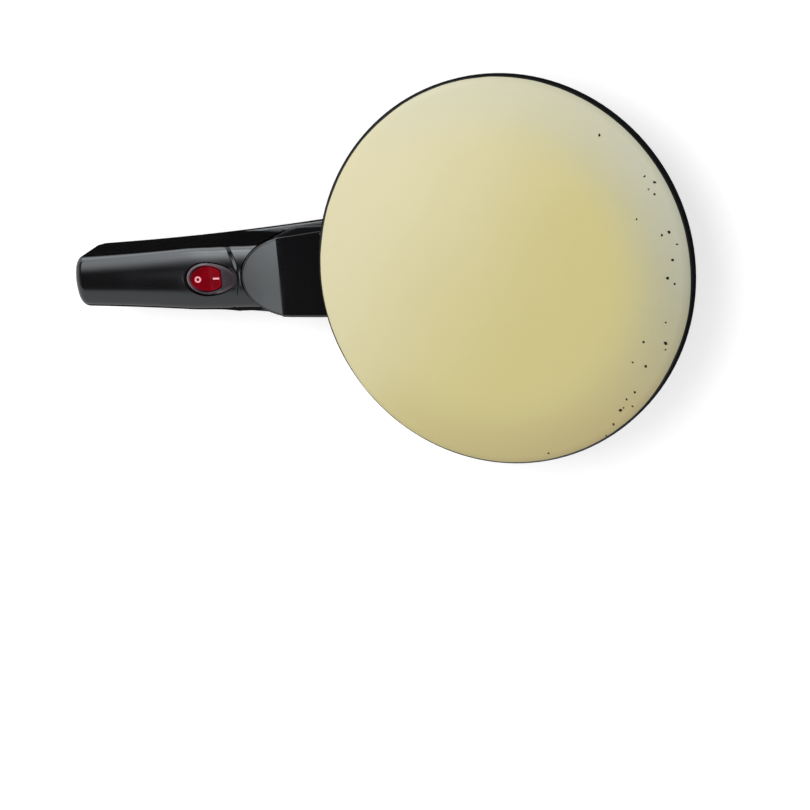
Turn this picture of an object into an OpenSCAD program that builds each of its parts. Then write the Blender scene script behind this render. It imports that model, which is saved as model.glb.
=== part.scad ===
// Electric crepe maker: a domed hot plate on a slim base, a hollow handle and a lit rocker switch.
// Millimetres, with +Z up and the table at z = 0. The handle points along -X.
// A "reach" is a distance from the plate's axis towards the end of the handle.

/* [Cooking plate] */
// Diameter of the cooking plate
plate_d = 200; // [190:1:215]
// Radius of curvature of the domed face
dome_r = 590; // [450:10:800]
// Radius of the plate's rounded edge
edge_r = 6; // [5:0.5:7]
// Height of the straight band below the rounded edge
band_h = 3.4; // [3:0.1:5]
// Thickness of the casting
plate_wall = 4; // [3.5:0.1:4.5]
// Diameter of the bosses that take the base screws
boss_d = 11; // [10:0.5:12]
// Distance of the base screws in from the plate's edge
boss_inset = 24; // [22:0.5:25.5]

/* [Batter] */
// Thickness of the batter on the plate
coat_t = 0.8; // [0.5:0.1:1.5]
// Film of oil between the batter and the plate
coat_gap = 0.1; // [0.05:0.01:0.2]
// Steepest slope of the rounded edge that the batter still covers, from the vertical
coat_wrap = 37; // [30:1:50]

/* [Heating element] */
// Distance of the element's ring in from the plate's edge
element_inset = 38; // [36:0.5:41]
// Diameter of the element's tube
tube_d = 6.6; // [6:0.1:7]
// Angle between the two ends of the ring
element_gap = 20; // [18:1:24]
// Distance of the ends of the element's straight legs in from the plate's edge
leg_inset = 20; // [19:0.5:22]
// Height of the element's seat below the crown of the plate
seat_depth = 8.2; // [7.8:0.1:8.8]
// Distance of the clamp screws in from the element's ring
clamp_inset = 12; // [10.5:0.5:13]
// Width of each element clamp
clamp_w = 12; // [10:0.5:14]
// Thickness of the clamps and brackets
strap_t = 1; // [0.8:0.1:1.2]

/* [Thermostat and fuse] */
// Diameter of the thermostat's cap
stat_d = 16; // [14:0.5:18]
// Height of the thermostat's cap
stat_cap_h = 4; // [3.5:0.1:4.5]
// Distance of the thermostat in from the element's ring
stat_inset = 36; // [34:0.5:38]
// Half the distance between the thermostat bracket's screws
stat_screw_y = 13; // [12.5:0.5:14]
// Diameter of the sleeved thermal fuse
fuse_d = 4.4; // [4:0.1:4.8]
// Length of the thermal fuse
fuse_l = 22; // [18:1:24]
// Sideways place of the thermal fuse
fuse_y = 30; // [28:0.5:32]

/* [Base] */
// Height of the base shell from its underside to its rim
base_h = 41; // [40:0.5:43]
// How far the flat underside, to where its sloped wall would meet it, stands back from the plate's edge
floor_inset = 30; // [28:0.5:32]
// Thickness of the base shell
base_wall = 2.5; // [2.2:0.1:3]
// How far the rim stands back from the plate's edge
rim_inset = 0.8; // [0.5:0.1:1.5]
// Width of the rim flange
rim_w = 9; // [8.5:0.5:10]
// Thickness of the rim flange
rim_h = 3.5; // [3:0.1:4]
// Height of the feet
foot_h = 3; // [2:0.1:5]
// Diameter of the feet
foot_d = 12; // [10:0.5:14]
// Distance of the feet in from the edge of the flat underside
foot_inset = 12; // [10:0.5:14]
// Thickness of the rim seal
seal_h = 1; // [0.8:0.1:1.5]
// Thickness of the heat shield
shield_t = 0.6; // [0.5:0.1:0.8]
// Gap between the thermostat and the insulation below it
cavity_gap = 0.8; // [0.6:0.1:1.2]
// Thickness of the insulation disc
insulation_t = 2; // [1.5:0.1:2.2]
// Width of the vent slots in the underside
vent_w = 3; // [2:0.1:4]

/* [Handle] */
// Length of the handle outside the plate, cord gland included
handle_l = 156; // [150:1:168]
// Width of the handle at its far end
end_w = 34.4; // [33:0.2:38]
// Width of the neck where it leaves the plate
neck_w = 54.8; // [52:0.2:57]
// Depth of the handle from its face to its underside
handle_depth = 33; // [32:0.5:35]
// Height of the handle's face above the base rim
face_rise = 1; // [0.8:0.1:1.5]
// Height of the parting line above the underside
split_h = 10; // [9:0.5:11]
// Wall of the handle shells
shell_wall = 2.2; // [2:0.1:2.6]
// Widest part of the ledge along the parting line
ledge_w = 2.5; // [1.5:0.1:3]
// Length of the ledge along the neck
ledge_l = 48; // [40:1:56]
// Slope of the handle's sides: inset for each unit of height
draft = 0.165; // [0.1:0.005:0.2]
// Fall of the crowned face from its middle to its edges
crown_drop = 2.5; // [1.5:0.1:3]
// Radius of the face's rounded edges
face_edge_r = 3.5; // [3:0.1:4]
// Radius of the rounded edges of the underside
under_edge_r = 6; // [4:0.5:7]
// Radius of the handle's rounded end
end_r = 6; // [4:0.5:7]
// Height of the grip pad above the valley in front of it
pad_rise = 1; // [0.6:0.1:1.4]
// Width of the valley between the neck cover's tip and the grip pad
valley_l = 2.3; // [2:0.1:2.8]
// How far the pad's front edge runs back at the sides
pad_bow = 10.5; // [8:0.5:11]
// Clear gap between moulded pieces
mould_gap = 0.15; // [0.1:0.01:0.2]

/* [Neck cover] */
// Length of the neck cover's flat top
tongue_top_l = 25.2; // [24:0.1:26.5]
// Length of the rounded tip
tongue_l = 31; // [28:0.5:34]
// Half the width of the cover where its rounded tip begins
tongue_half_w = 24; // [23.5:0.1:24.2]
// Thickness of the cover
cover_t = 1.8; // [1.6:0.1:2.2]
// Length of the first slope, which runs from the flat top towards the plate
facet_l = 8; // [7:0.5:9]
// Length of the second, steeper slope
facet_2_l = 13; // [12:0.5:14]
// Fall of the first slope
facet_drop = 2; // [1.5:0.1:2.5]
// Gap between the end of the second slope and the rim flange above it
facet_clear = 0.8; // [0.5:0.1:1.5]
// Length of the upper handle shell's end under the neck cover's flat top and first slope
spigot_l = 11; // [9.5:0.5:12]
// How far the joint between the base's neck and the lower handle shell lies behind the first slope
joint_back = 1; // [0.5:0.1:2]

/* [Switch] */
// Distance from the grip pad's front edge to the switch housing
switch_gap = 7.3; // [6.6:0.1:8]
// Length of the opening in the bezel
window_l = 21.4; // [21.3:0.1:22]
// Width of the opening in the bezel
window_w = 14; // [13.8:0.1:14.6]
// Wall of the switch housing
switch_wall = 1; // [0.8:0.1:1.1]
// Width of the bezel's lip outside the housing
lip_w = 0.6; // [0.5:0.1:0.9]
// Thickness of the bezel's lip
lip_t = 1.2; // [1:0.1:1.5]
// Length of the straight land that closes the window's end towards the plate
land_l = 1.8; // [1.5:0.1:2]
// Height of the switch housing
switch_h = 19.6; // [18.6:0.2:20.4]
// Depth of the oval recess below the grip pad
recess_depth = 2.6; // [2.4:0.1:3]
// Width that the recess gains from its floor to the face, each side
recess_flare = 1; // [0.8:0.1:1.4]
// Extra length of the recess towards the plate
recess_lead = 6.6; // [5:0.1:6.8]
// Angle through which the rocker turns from on to off
throw = 20; // [16:1:20]
// Length of the rocker
rocker_l = 18.9; // [18.2:0.1:19]
// Gap between the rocker's sides and the bezel
rocker_gap = 0.25; // [0.2:0.01:0.3]
// Diameter of the rocker's trunnions
trunnion_d = 2.4; // [2:0.1:2.6]
// Depth of the rocker's pivot below the top of the bezel
pivot_depth = 4.2; // [4:0.1:4.6]
// Width of the terminal blades
blade_w = 4.8; // [4:0.1:5]
// Distance between the terminal blades
blade_pitch = 6; // [5.6:0.1:6.4]
// Length of the blades below the housing
blade_l = 8; // [7:0.5:8.5]

/* [Cord entry] */
// Bore of the cord gland
gland_bore = 7; // [6:0.1:8]
// Diameter of the gland's waist, in the end wall
gland_d = 12.4; // [12:0.1:13]
// Width of the gland's flanges outside its waist
gland_flange = 1.8; // [1.5:0.1:2]
// How far the gland stands out of the handle
gland_proud = 4; // [3:0.1:5]
// Distance of the cord clamp in from the handle's end
clamp_bar_inset = 13; // [12:0.5:14]
// Distance of the terminal block's far end in from the cord clamp
block_inset = 20; // [18:0.5:21]
// Length of the terminal block
block_l = 18; // [16:0.5:19]
// Distance between the poles of the terminal block
pole_pitch = 4.6; // [4.4:0.1:4.7]

/* [Fasteners and wires] */
// Diameter of the screws
screw_d = 3.5; // [3:0.1:3.8]
// Diameter of the screw heads
head_d = 6.5; // [6:0.1:7]
// Height of the screw heads
head_h = 2; // [1.8:0.1:2.2]
// Diameter of the small screws that hold the electrical parts
small_screw_d = 2.6; // [2.2:0.1:2.8]
// Clearance on the radius of a screw or pin in its hole
fit = 0.05; // [0.02:0.01:0.08]
// Diameter of the wires
wire_d = 2.2; // [1.8:0.1:2.4]

/* [Hidden] */

$fn = 48;
touch = 0.02;
cut = 1;

// Heights
plate_r = plate_d / 2;
rim_r = plate_r - rim_inset;
rim_z = foot_h + base_h;
plate_z = rim_z + seal_h;
edge_z = plate_z + band_h;
dome_z = edge_z - sqrt(pow(dome_r - edge_r, 2) - pow(plate_r - edge_r, 2));
crown_z = dome_z + dome_r;
seat_z = crown_z - seat_depth;
stat_stem_h = 5;
stat_low_z = seat_z - stat_cap_h - strap_t - stat_stem_h - 2 * touch;
cavity_z = stat_low_z - cavity_gap;
insulation_z = cavity_z - insulation_t;
shield_z = insulation_z - shield_t;
tube_r = tube_d / 2;
element_z = seat_z - tube_r - touch;
strap_z = element_z - tube_r - touch - strap_t;
element_r = plate_r - element_inset;

// Reaches under the plate
boss_reach = plate_r - boss_inset;
leg_reach = plate_r - leg_inset;
clamp_reach = element_r - clamp_inset;
stat_reach = element_r - stat_inset;
earth_reach = plate_r - 32;
earth_y = 30;
base_floor_r = plate_r - floor_inset;
foot_reach = base_floor_r - foot_inset;
vent_l = 12;
vent_reach = foot_reach - 14;

// The unit's origin is under the middle of its overall length
handle_reach = plate_r + handle_l;
plate_x = handle_l / 2;

// Handle
face_z = rim_z + face_rise;
under_z = face_z - handle_depth;
split_z = under_z + split_h;
floor_z = under_z + shell_wall;
pad_z = face_z + pad_rise;
cover_z = pad_z;
handle_end = handle_reach - gland_proud;
neck_reach = plate_r + 2;
facet_end_z = rim_z - rim_h - facet_clear;
facet_end_reach = neck_reach;
facet_mid_reach = facet_end_reach + facet_2_l;
facet_reach = facet_mid_reach + facet_l;
spigot_reach = facet_reach - spigot_l;
joint_reach = facet_reach + joint_back;
tongue_reach = facet_reach + tongue_top_l;
tongue_start = tongue_reach - tongue_l;
pad_reach = tongue_reach + valley_l;
ledge_end = neck_reach + ledge_l;
// Where the base's neck and the neck cover start, inside the base's outline
neck_root = plate_r - 40;
cover_root = plate_r - 20;
// Length of the grip pad's sloping front edge, and how far its bowed shape fades out on each side
pad_slope = 1.7;
bow_run = 16;

// Base wall
wall_top_z = rim_z - rim_h;
wall_top_r = rim_r - 2;
wall_angle = atan2(wall_top_z - foot_h, wall_top_r - base_floor_r);
floor_edge_r = 8;

// Switch
floor_cut_z = pad_z - recess_depth;
bezel_z = floor_cut_z + lip_t;
pivot_z = bezel_z - pivot_depth;
window_a = window_l / 2;
window_b = window_w / 2;
rocker_a = rocker_l / 2;
rocker_b = window_b - rocker_gap;
rocker_front = window_a - land_l - 1.1;
land_t = 1.5;
housing_a = window_a + switch_wall;
switch_reach = pad_reach + switch_gap + housing_a;
housing_b = window_b + switch_wall;
housing_z = bezel_z - switch_h;
dish_angle = throw / 2;
dish_z = 4;
end_sweep = 10.9;
plunger_drop = 6.5;
plunger_r = 0.9;
seesaw_z = pivot_z - plunger_drop - plunger_r - 0.1;
seesaw_l = 14;
seesaw_t = 0.6;
seesaw_lift = 0.3;
seesaw_pin_r = 0.5;
seesaw_pin_z = seesaw_z - seesaw_t - seesaw_lift;
ear_w = 6.8;
blade_t = 0.8;
lamp_r = 1.2;
seesaw_ratio = 0.6;
seesaw_tilt = dish_angle * seesaw_ratio;

// Cord entry
entry_z = split_z;
inner_flange = gland_flange - 0.6;
gland_seat = 6;
clamp_bar_reach = handle_end - clamp_bar_inset;
block_reach = clamp_bar_reach - block_inset - block_l / 2;
block_w = 3 * pole_pitch;
block_z = floor_z;
block_h = 11;
pole_z = block_z + 6;
post_y = 8;

// Screw places
boss_angles = [45, 135, 225, 315];
clamp_angles = [0, 100, 260];
foot_angles = [36, 144, 216, 324];
neck_screw_reach = neck_reach + 3;
neck_screw_y = 17;
bracket_y = 5;
bracket_holes = [joint_reach - 32, joint_reach - 16, joint_reach + 9, joint_reach + 17];
handle_screw_y = 11.5;
handle_screw_places = [[switch_reach + housing_a + 10.8, handle_screw_y], [handle_end - 24, handle_screw_y]];

// ---------- Outlines ----------

// Points along an arc from angle a0 to angle a1
function arc(cx, cy, r, a0, a1, n) =
    [for (i = [0:n]) let (a = a0 + (a1 - a0) * i / n) [cx + r * cos(a), cy + r * sin(a)]];

// A rounded corner at b between a and c
function bend(a, b, c, n) =
    [for (i = [0:n]) let (t = i / n) (1 - t) * (1 - t) * a + 2 * t * (1 - t) * b + t * t * c];

function reversed(list) = [for (i = [len(list) - 1:-1:0]) list[i]];
function flipped(list) = [for (p = reversed(list)) [-p[0], p[1]]];
function oval(a, b, n = 48) = [for (i = [0:n - 1]) [a * cos(360 * i / n), b * sin(360 * i / n)]];

// The plate's outer face, from the axis to the end of its rounded edge, moved out by gap.
// low_angle is the angle at which the edge stops, 0 being where it turns vertical.
function dome_face(gap, low_angle) =
    let (tilt = asin((plate_r - edge_r) / (dome_r - edge_r)))
    concat(
        [for (i = [0:20]) let (a = tilt * i / 20)
            [(dome_r + gap) * sin(a), dome_z + (dome_r + gap) * cos(a)]],
        [for (p = arc(plate_r - edge_r, edge_z, edge_r + gap, 90 - tilt, low_angle, 10)) p]);

// Height of the underside of the plate at radius r
function ceiling_z(r) = dome_z + sqrt(pow(dome_r - plate_wall, 2) - r * r);

// The base's outer face from the axis to the rim, moved in by inset
function base_face(inset) =
    let (z0 = foot_h + inset, slope = tan(wall_angle), out = inset / sin(wall_angle))
    let (corner = [base_floor_r - out + inset / slope, z0])
    let (along = [cos(wall_angle), sin(wall_angle)])
    concat([[0, z0]],
        bend(corner - [floor_edge_r, 0], corner, corner + floor_edge_r * along, 8),
        [[wall_top_r - out, wall_top_z]]);

// ---------- Handle sections ----------

// Half the width of the handle at the parting line
function half_w(s) =
    let (u = (handle_end - s) / (handle_end - neck_reach))
    (end_w + (neck_w - end_w) * (0.42 * u + 0.58 * u * u)) / 2;

// Width of the ledge on which the upper shell stands back
function ledge(s) = ledge_w * max(0, (ledge_end - s) / (ledge_end - neck_reach));

// Inset of the rounded end
function end_inset(s) =
    let (t = max(0, s - (handle_end - end_r)))
    end_r - sqrt(max(0, end_r * end_r - t * t));

// Height of the flat top of the neck cover and its two slopes
function cover_top(s) =
    s >= facet_reach ? cover_z
    : s >= facet_mid_reach ? cover_z - facet_drop * (facet_reach - s) / (facet_reach - facet_mid_reach)
    : let (z1 = cover_z - facet_drop)
        z1 - (z1 - facet_end_z) * (facet_mid_reach - s) / (facet_mid_reach - facet_end_reach);

// Height of the upper shell's face on the centre line
function face_top(s) = s < facet_reach ? cover_top(s) - pad_rise : face_z;

// How far a section's sides run back towards the handle's end, where the grip pad begins
function bow(s) = pad_bow * max(0, 1 - abs(s - pad_reach) / bow_run);

// Upper section at reach s, with its face at height top, moved in by inset, down to height low
function upper_section(s, top, inset, low) =
    let (e = end_inset(s + inset * (s > handle_end - end_r - inset ? 1 : 0)))
    let (w0 = half_w(s) - ledge(s) - inset - e, zc = top - inset - e * 0.6, k = draft)
    let (zr = zc - crown_drop, wf = w0 - k * (zr - split_z), r = face_edge_r)
    let (crown = function(y) zc - crown_drop * (y / wf) * (y / wf))
    let (right = concat(
        [[w0 + k * (split_z - low), low], [w0 - k * 2, split_z + 2]],
        bend([wf + k * r, zr - r], [wf, zr], [wf - r, crown(wf - r)], 5),
        [for (i = [1:5]) let (y = (wf - r) * (1 - i / 6)) [y, crown(y)]]))
    concat([[0, zc]], flipped(right), right);

// Lower section at reach s, moved in by inset, from the underside up to height high
function lower_section(s, inset, high) =
    let (e = end_inset(s + inset * (s > handle_end - end_r - inset ? 1 : 0)))
    let (w = half_w(s) - inset - e, z = under_z + inset + e * 0.6)
    let (r = max(2, min(under_edge_r - inset, (split_z - z) * 0.7)))
    let (right = concat([[w, high], [w, (high + z + r) / 2]], bend([w, z + r], [w, z], [w - r, z], 6)))
    concat(reversed(right), [for (p = right) [-p[0], p[1]]]);

// A solid through sections: each entry of list is [reach, bow, outline], all outlines alike in length
module loft(list) {
    n = len(list[0][2]);
    m = len(list);
    points = [for (e = list) let (half = max([for (p = e[2]) p[0]]))
        for (p = e[2]) [-(e[0] + e[1] * pow(p[0] / half, 2)), p[0], p[1]]];
    sides = [for (i = [0:m - 2], j = [0:n - 1], k = [0, 1])
        let (a = i * n + j, b = i * n + (j + 1) % n)
        k == 0 ? [a, b, b + n] : [a, b + n, a + n]];
    polyhedron(points, concat([[for (j = [n - 1:-1:0]) j]], sides, [[for (j = [0:n - 1]) (m - 1) * n + j]]));
}

// Reaches of the sections of the rounded end, moved in by inset
function end_stations(inset) =
    [for (t = [0, 0.4, 0.7, 0.9, 1]) handle_end - end_r + end_r * t - inset * (t > 0 || inset > 0 ? 1 : 0)];

// Reach at which the rounded end begins, and eight reaches from the pad's front towards it
function end_inset_start() = handle_end - end_r;
function grip_stations(from, to) =
    [for (i = [0:7]) from + (to - 8 - from) * (0.06 * i + 0.94 * i * i / 7) / 7];

// Upper half of the handle as a solid, with its grip pad, moved in by inset
module upper_body(inset, start) {
    foot = pad_reach - pad_slope;
    front = [for (s = concat([start, (start + facet_mid_reach) / 2, facet_mid_reach],
            [for (t = [0, 0.27, 0.54, 0.78]) facet_reach + t * (foot - facet_reach)]))
        [s, bow(s), upper_section(s, face_top(s), inset, split_z)]];
    step = [[foot, bow(foot), upper_section(foot, face_z, inset, split_z)],
        [pad_reach, pad_bow, upper_section(pad_reach, pad_z, inset, split_z)]];
    grip = [for (s = concat(grip_stations(pad_reach + 5.5, end_inset_start()), end_stations(0)))
        [s, bow(s), upper_section(s, pad_z, inset, split_z)]];
    loft(concat(front, step, grip));
}

// Hollow of the upper shell
module upper_hollow() {
    deep = shell_wall + cover_t;
    low = split_z - cut;
    edge = pad_reach - 3.5;
    front = [for (s = concat([spigot_reach - cut, facet_mid_reach],
            [for (t = [0, 0.29, 0.7, 1]) facet_reach + t * (edge - facet_reach)]))
        [s, 0, upper_section(s, face_top(s), deep, low)]];
    reaches = concat(grip_stations(pad_reach + 2.5, end_inset_start() - shell_wall),
        end_stations(shell_wall));
    grip = [for (s = reaches) [s, 0, upper_section(s, face_z, shell_wall, low)]];
    loft(concat(front, grip));
}

// Lower shape of the handle and neck as a solid between two reaches
module lower_body(from, to, inset, high) {
    middle = [for (s = [from:(to - from) / 8:to + 0.001]) s];
    list = to < handle_end - end_r ? middle : concat(
        [for (i = [0:8]) from + (handle_end - end_r - inset - 1 - from) * i / 8], end_stations(inset));
    loft([for (s = list) [s, 0, lower_section(s, inset, high)]]);
}

// Hollow of the lower shapes: its walls carry the upper shell, which stands back by the ledge
module lower_hollow(from, to) {
    list = to < handle_end - end_r ? [for (i = [0:8]) from + (to - from) * i / 8] : concat(
        [for (i = [0:8]) from + (end_inset_start() - shell_wall - 1 - from) * i / 8],
        end_stations(shell_wall));
    loft([for (s = list)
        [s, 0, [for (p = lower_section(s, shell_wall, split_z + cut))
            [p[0] * (1 - ledge(s) / (half_w(s) - shell_wall)), p[1]]]]]);
}

// Outline of the neck cover seen from above, in reach and width, moved out by gap
function tongue_outline(gap, start) =
    let (right = concat([[start, half_w(start) - ledge(start) + gap]],
        [for (s = [facet_end_reach, (facet_end_reach + tongue_start) / 2])
            [s, max(tongue_half_w, half_w(s) - ledge(s)) + gap]],
        [for (a = [90:-6:6]) [tongue_start + (tongue_l + gap) * cos(a), (tongue_half_w + gap) * sin(a)]]))
    concat(right, [[tongue_reach + gap, 0]], [for (p = reversed(right)) [p[0], -p[1]]]);

module tongue_prism(gap, low, high, start) {
    translate([0, 0, low]) linear_extrude(high - low)
        polygon([for (p = tongue_outline(gap, start)) [-p[0], p[1]]]);
}

// ---------- Small shared shapes ----------

// Puts what follows in the unit's frame, with the plate's axis at plate_x
module placed() {
    translate([plate_x, 0, 0]) children();
}

// A place at a reach towards the handle, a width and a height
module at(s, y = 0, z = 0) {
    translate([-s, y, z]) children();
}

module rod(r, low, high) {
    translate([0, 0, low]) cylinder(r = r, h = high - low);
}

module block(l, w, low, high) {
    translate([-l / 2, -w / 2, low]) cube([l, w, high - low]);
}

// A screw whose head sits under z and whose shank goes up to top
module screw_up(d, head, z, top) {
    rod(head / 2, z - head_h, z);
    rod(d / 2, z - touch, top);
}

// A screw whose head sits on z and whose shank goes down to low
module screw_down(d, head, z, low) {
    rod(head / 2, z, z + head_h);
    rod(d / 2, low, z + touch);
}

module at_bosses() {
    for (a = boss_angles) rotate(a) translate([boss_reach, 0, 0]) children();
}

// A smooth line through chosen points, n steps to each
function route(p, n = 3) = concat(
    [for (i = [0:len(p) - 2], k = [0:n - 1])
        let (t = k / n, a = p[max(0, i - 1)], b = p[i], c = p[i + 1], d = p[min(len(p) - 1, i + 2)])
        0.5 * (2 * b + (c - a) * t + (2 * a - 5 * b + 4 * c - d) * t * t
            + (3 * b - a - 3 * c + d) * t * t * t)],
    [p[len(p) - 1]]);

function unit(v) = v / norm(v);

// A wire along points, eight sides to a ring
module wire(p, r) {
    n = 8;
    m = len(p);
    rings = [for (i = [0:m - 1])
        let (t = unit(p[min(m - 1, i + 1)] - p[max(0, i - 1)]))
        let (u = unit(cross(t, [0.1, 1, 0.2])), v = cross(t, u))
        for (k = [0:n - 1]) p[i] + r * (cos(360 * k / n) * u + sin(360 * k / n) * v)];
    sides = [for (i = [0:m - 2], k = [0:n - 1], h = [0, 1])
        let (a = i * n + k, b = i * n + (k + 1) % n)
        h == 0 ? [a, b + n, b] : [a, a + n, b + n]];
    polyhedron(rings, concat([[for (k = [0:n - 1]) k]], sides, [[for (k = [n - 1:-1:0]) (m - 1) * n + k]]));
}

// ---------- Cooking plate and what hangs from it ----------

module cooking_plate() {
    outer = dome_face(0, 0);
    tilt = asin((plate_r - edge_r) / (dome_r - edge_r));
    ceiling = [for (i = [20:-1:0]) let (a = tilt * i / 20)
        [(dome_r - plate_wall) * sin(a), dome_z + (dome_r - plate_wall) * cos(a)]];
    profile = concat(outer,
        [[plate_r, plate_z], [plate_r - plate_wall, plate_z], [plate_r - plate_wall, edge_z]],
        ceiling);
    rib_w = 1.5;
    rib_gap = 0.4;
    color("#1b1c1e") placed() difference() {
        union() {
            rotate_extrude($fn = 144) polygon(profile);
            intersection() {
                rod(plate_r - plate_wall, 0, crown_z, $fn = 144);
                union() {
                    element_seat(rib_w, rib_gap);
                    at_bosses() rod(boss_d / 2, shield_z + shield_t, ceiling_z(boss_reach) + 1);
                    for (a = clamp_angles) rotate(a) translate([clamp_reach, 0, 0])
                        rod(4, strap_z + strap_t, ceiling_z(clamp_reach) + 1);
                    at(stat_reach) rod(stat_d / 2 + 2, stat_top_z(), ceiling_z(stat_reach) + 1);
                    for (side = [-1, 1]) at(stat_reach, side * stat_screw_y)
                        rod(3.2, stat_strap_z() + strap_t, ceiling_z(stat_reach) + 1);
                    at(stat_reach, fuse_y)
                        block(fuse_l - 4, fuse_d, fuse_z() + fuse_d / 2, ceiling_z(40) + 1);
                    at(stat_reach, fuse_y + fuse_screw_y()) rod(3, fuse_z(), ceiling_z(45) + 1);
                    at(earth_reach, earth_y) rod(3.5, earth_z, ceiling_z(75) + 1);
                }
            }
        }
        at_bosses() rod(screw_d / 2 + fit, 0, boss_hole_z());
        // pockets in which the element's straight legs lie below the falling dome
        for (side = [-1, 1]) at((element_r + leg_reach + bead_l) / 2, side * leg_half())
            block(leg_reach + bead_l + 2 - element_r, tube_d + 1, element_z - cut, seat_z);
        for (side = [-1, 1]) at(tab_reach(), side * leg_half())
            block(tab_l + 1, tab_w + 1, element_z - cut, element_z + 0.9);
        for (a = clamp_angles) rotate(a) translate([clamp_reach, 0, 0])
            rod(small_screw_d / 2 + fit, 0, ceiling_z(clamp_reach) + 0.5);
        for (side = [-1, 1]) at(stat_reach, side * stat_screw_y)
            rod(small_screw_d / 2 + fit, 0, ceiling_z(stat_reach) + 0.5);
        at(stat_reach, fuse_y + fuse_screw_y()) rod(small_screw_d / 2 + fit, 0, ceiling_z(45) + 0.5);
        at(earth_reach, earth_y) rod(small_screw_d / 2 + fit, 0, ceiling_z(75) + 0.5);
    }
}

// Height to which the base screws' holes are drilled, and the screws' own ends
function boss_hole_z() = ceiling_z(boss_reach) + 0.6;
function stat_top_z() = seat_z;
function stat_strap_z() = stat_top_z() - touch - stat_cap_h - touch - strap_t;
function fuse_z() = seat_z - fuse_d / 2 - touch;
function fuse_screw_y() = fuse_d / 2 + 5;
function leg_half() = element_r * sin(element_gap / 2);
bead_l = 3;
tab_l = 6;
tab_w = 4;
function tab_reach() = leg_reach + bead_l + tab_l / 2 - 0.5;
earth_z = element_z - 1;

// A flat land for the element between two low ribs, open towards the handle
module element_seat(rib_w, rib_gap) {
    inner = element_r - tube_r - rib_gap;
    outer = element_r + tube_r + rib_gap;
    top = ceiling_z(inner - rib_w) + 1;
    difference() {
        rod(outer + rib_w, element_z, top, $fn = 96);
        rod(inner - rib_w, element_z - cut, top + cut, $fn = 96);
        difference() {
            rod(outer, element_z - cut, seat_z, $fn = 96);
            rod(inner, element_z - 2 * cut, seat_z + cut, $fn = 96);
        }
        at(element_r + 10)
            block(40, 2 * element_r * sin(element_gap / 2) + tube_d + 2, element_z - cut, seat_z);
        for (a = clamp_angles) rotate(a) translate([element_r - 2 * tube_r, 0, 0])
            block(4 * tube_r, clamp_w + 1, element_z - cut, element_z + 0.4);
    }
}

module batter_coat() {
    low = dome_face(coat_gap, coat_wrap);
    high = dome_face(coat_gap + coat_t, coat_wrap + 3);
    color("#d9d3a2") placed() rotate_extrude($fn = 144) polygon(concat(low, reversed(high)));
}

module heating_element() {
    half = element_gap / 2;
    color("#8d8f92") placed() translate([0, 0, element_z]) union() {
        rotate(180 + half) rotate_extrude(angle = 360 - element_gap, $fn = 96)
            translate([element_r, 0]) circle(r = tube_r, $fn = 36);
        for (side = [-1, 1]) at(leg_reach, side * leg_half()) rotate([0, 90, 0])
            cylinder(r = tube_r - 0.05, h = leg_reach - element_r * cos(half) + tube_r * 0.8, $fn = 36);
    }
}

// Porcelain beads and spade tabs on the element's ends
module element_ends() {
    color("#e9e4d8") placed() for (side = [-1, 1]) {
        at(leg_reach + touch, side * leg_half(), element_z) rotate([0, -90, 0])
            cylinder(r = tube_r - 0.4, h = bead_l, $fn = 24);
        at(tab_reach(), side * leg_half()) block(tab_l, tab_w, element_z - 0.4, element_z + 0.4);
    }
}

module element_clamps() {
    inner = clamp_reach - 5;
    outer = element_r + tube_r;
    color("#b9bcc0") placed() for (a = clamp_angles) rotate(a) difference() {
        translate([inner, -clamp_w / 2, strap_z]) cube([outer - inner, clamp_w, strap_t]);
        translate([clamp_reach, 0, 0]) rod(small_screw_d / 2 + fit, 0, crown_z);
    }
}

module clamp_screws() {
    color("#c9ccd0") placed() for (a = clamp_angles) rotate(a) translate([clamp_reach, 0, 0])
        screw_up(small_screw_d, small_head_d(), strap_z - touch, ceiling_z(clamp_reach) - 0.5);
}

function small_head_d() = small_screw_d * 1.9;

// Where the wires come up, a notch in the shield and the insulation
module wire_notch(r) {
    at(r + 3) block(34, 30, shield_z - cut, crown_z);
}

module insulation_disc() {
    r = plate_r - plate_wall - 10;
    color("#d8d2c4") placed() difference() {
        rod(r, insulation_z + touch, cavity_z, $fn = 96);
        at_bosses() rod(boss_d / 2 + 0.3, 0, crown_z);
        wire_notch(r);
    }
}

module heat_shield() {
    r = plate_r - plate_wall - 7;
    color("#a9adb2") placed() difference() {
        rod(r, shield_z + touch, insulation_z, $fn = 96);
        at_bosses() rod(screw_d / 2 + 0.3, 0, crown_z);
        wire_notch(r);
    }
}

module thermostat() {
    top = stat_top_z() - touch;
    low = stat_strap_z() - stat_stem_h;
    color("#3a3330") placed() at(stat_reach) difference() {
        union() {
            rod(stat_d / 2, top - stat_cap_h, top);
            rod(stat_d / 2 - 3, low, top);
            block(stat_d + 8, 4, low + 1.2, low + 2);
        }
        for (side = [-1, 1]) translate([side * (stat_d / 2 + 2), 0, 0]) rod(0.9, 0, crown_z);
    }
}

module thermostat_bracket() {
    z = stat_strap_z();
    color("#b9bcc0") placed() at(stat_reach) difference() {
        block(14, 2 * stat_screw_y + 8, z, z + strap_t);
        rod(stat_d / 2 - 3 + 0.2, 0, crown_z);
        for (side = [-1, 1]) translate([0, side * stat_screw_y, 0]) rod(small_screw_d / 2 + fit, 0, crown_z);
    }
}

module thermostat_screws() {
    color("#c9ccd0") placed() for (side = [-1, 1]) at(stat_reach, side * stat_screw_y)
        screw_up(small_screw_d, small_head_d(), stat_strap_z() - touch, ceiling_z(stat_reach) - 0.5);
}

module thermal_fuse() {
    color("#efe7d2") placed() at(stat_reach + fuse_l / 2, fuse_y, fuse_z()) rotate([0, 90, 0])
        cylinder(r = fuse_d / 2, h = fuse_l, $fn = 24);
}

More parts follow.
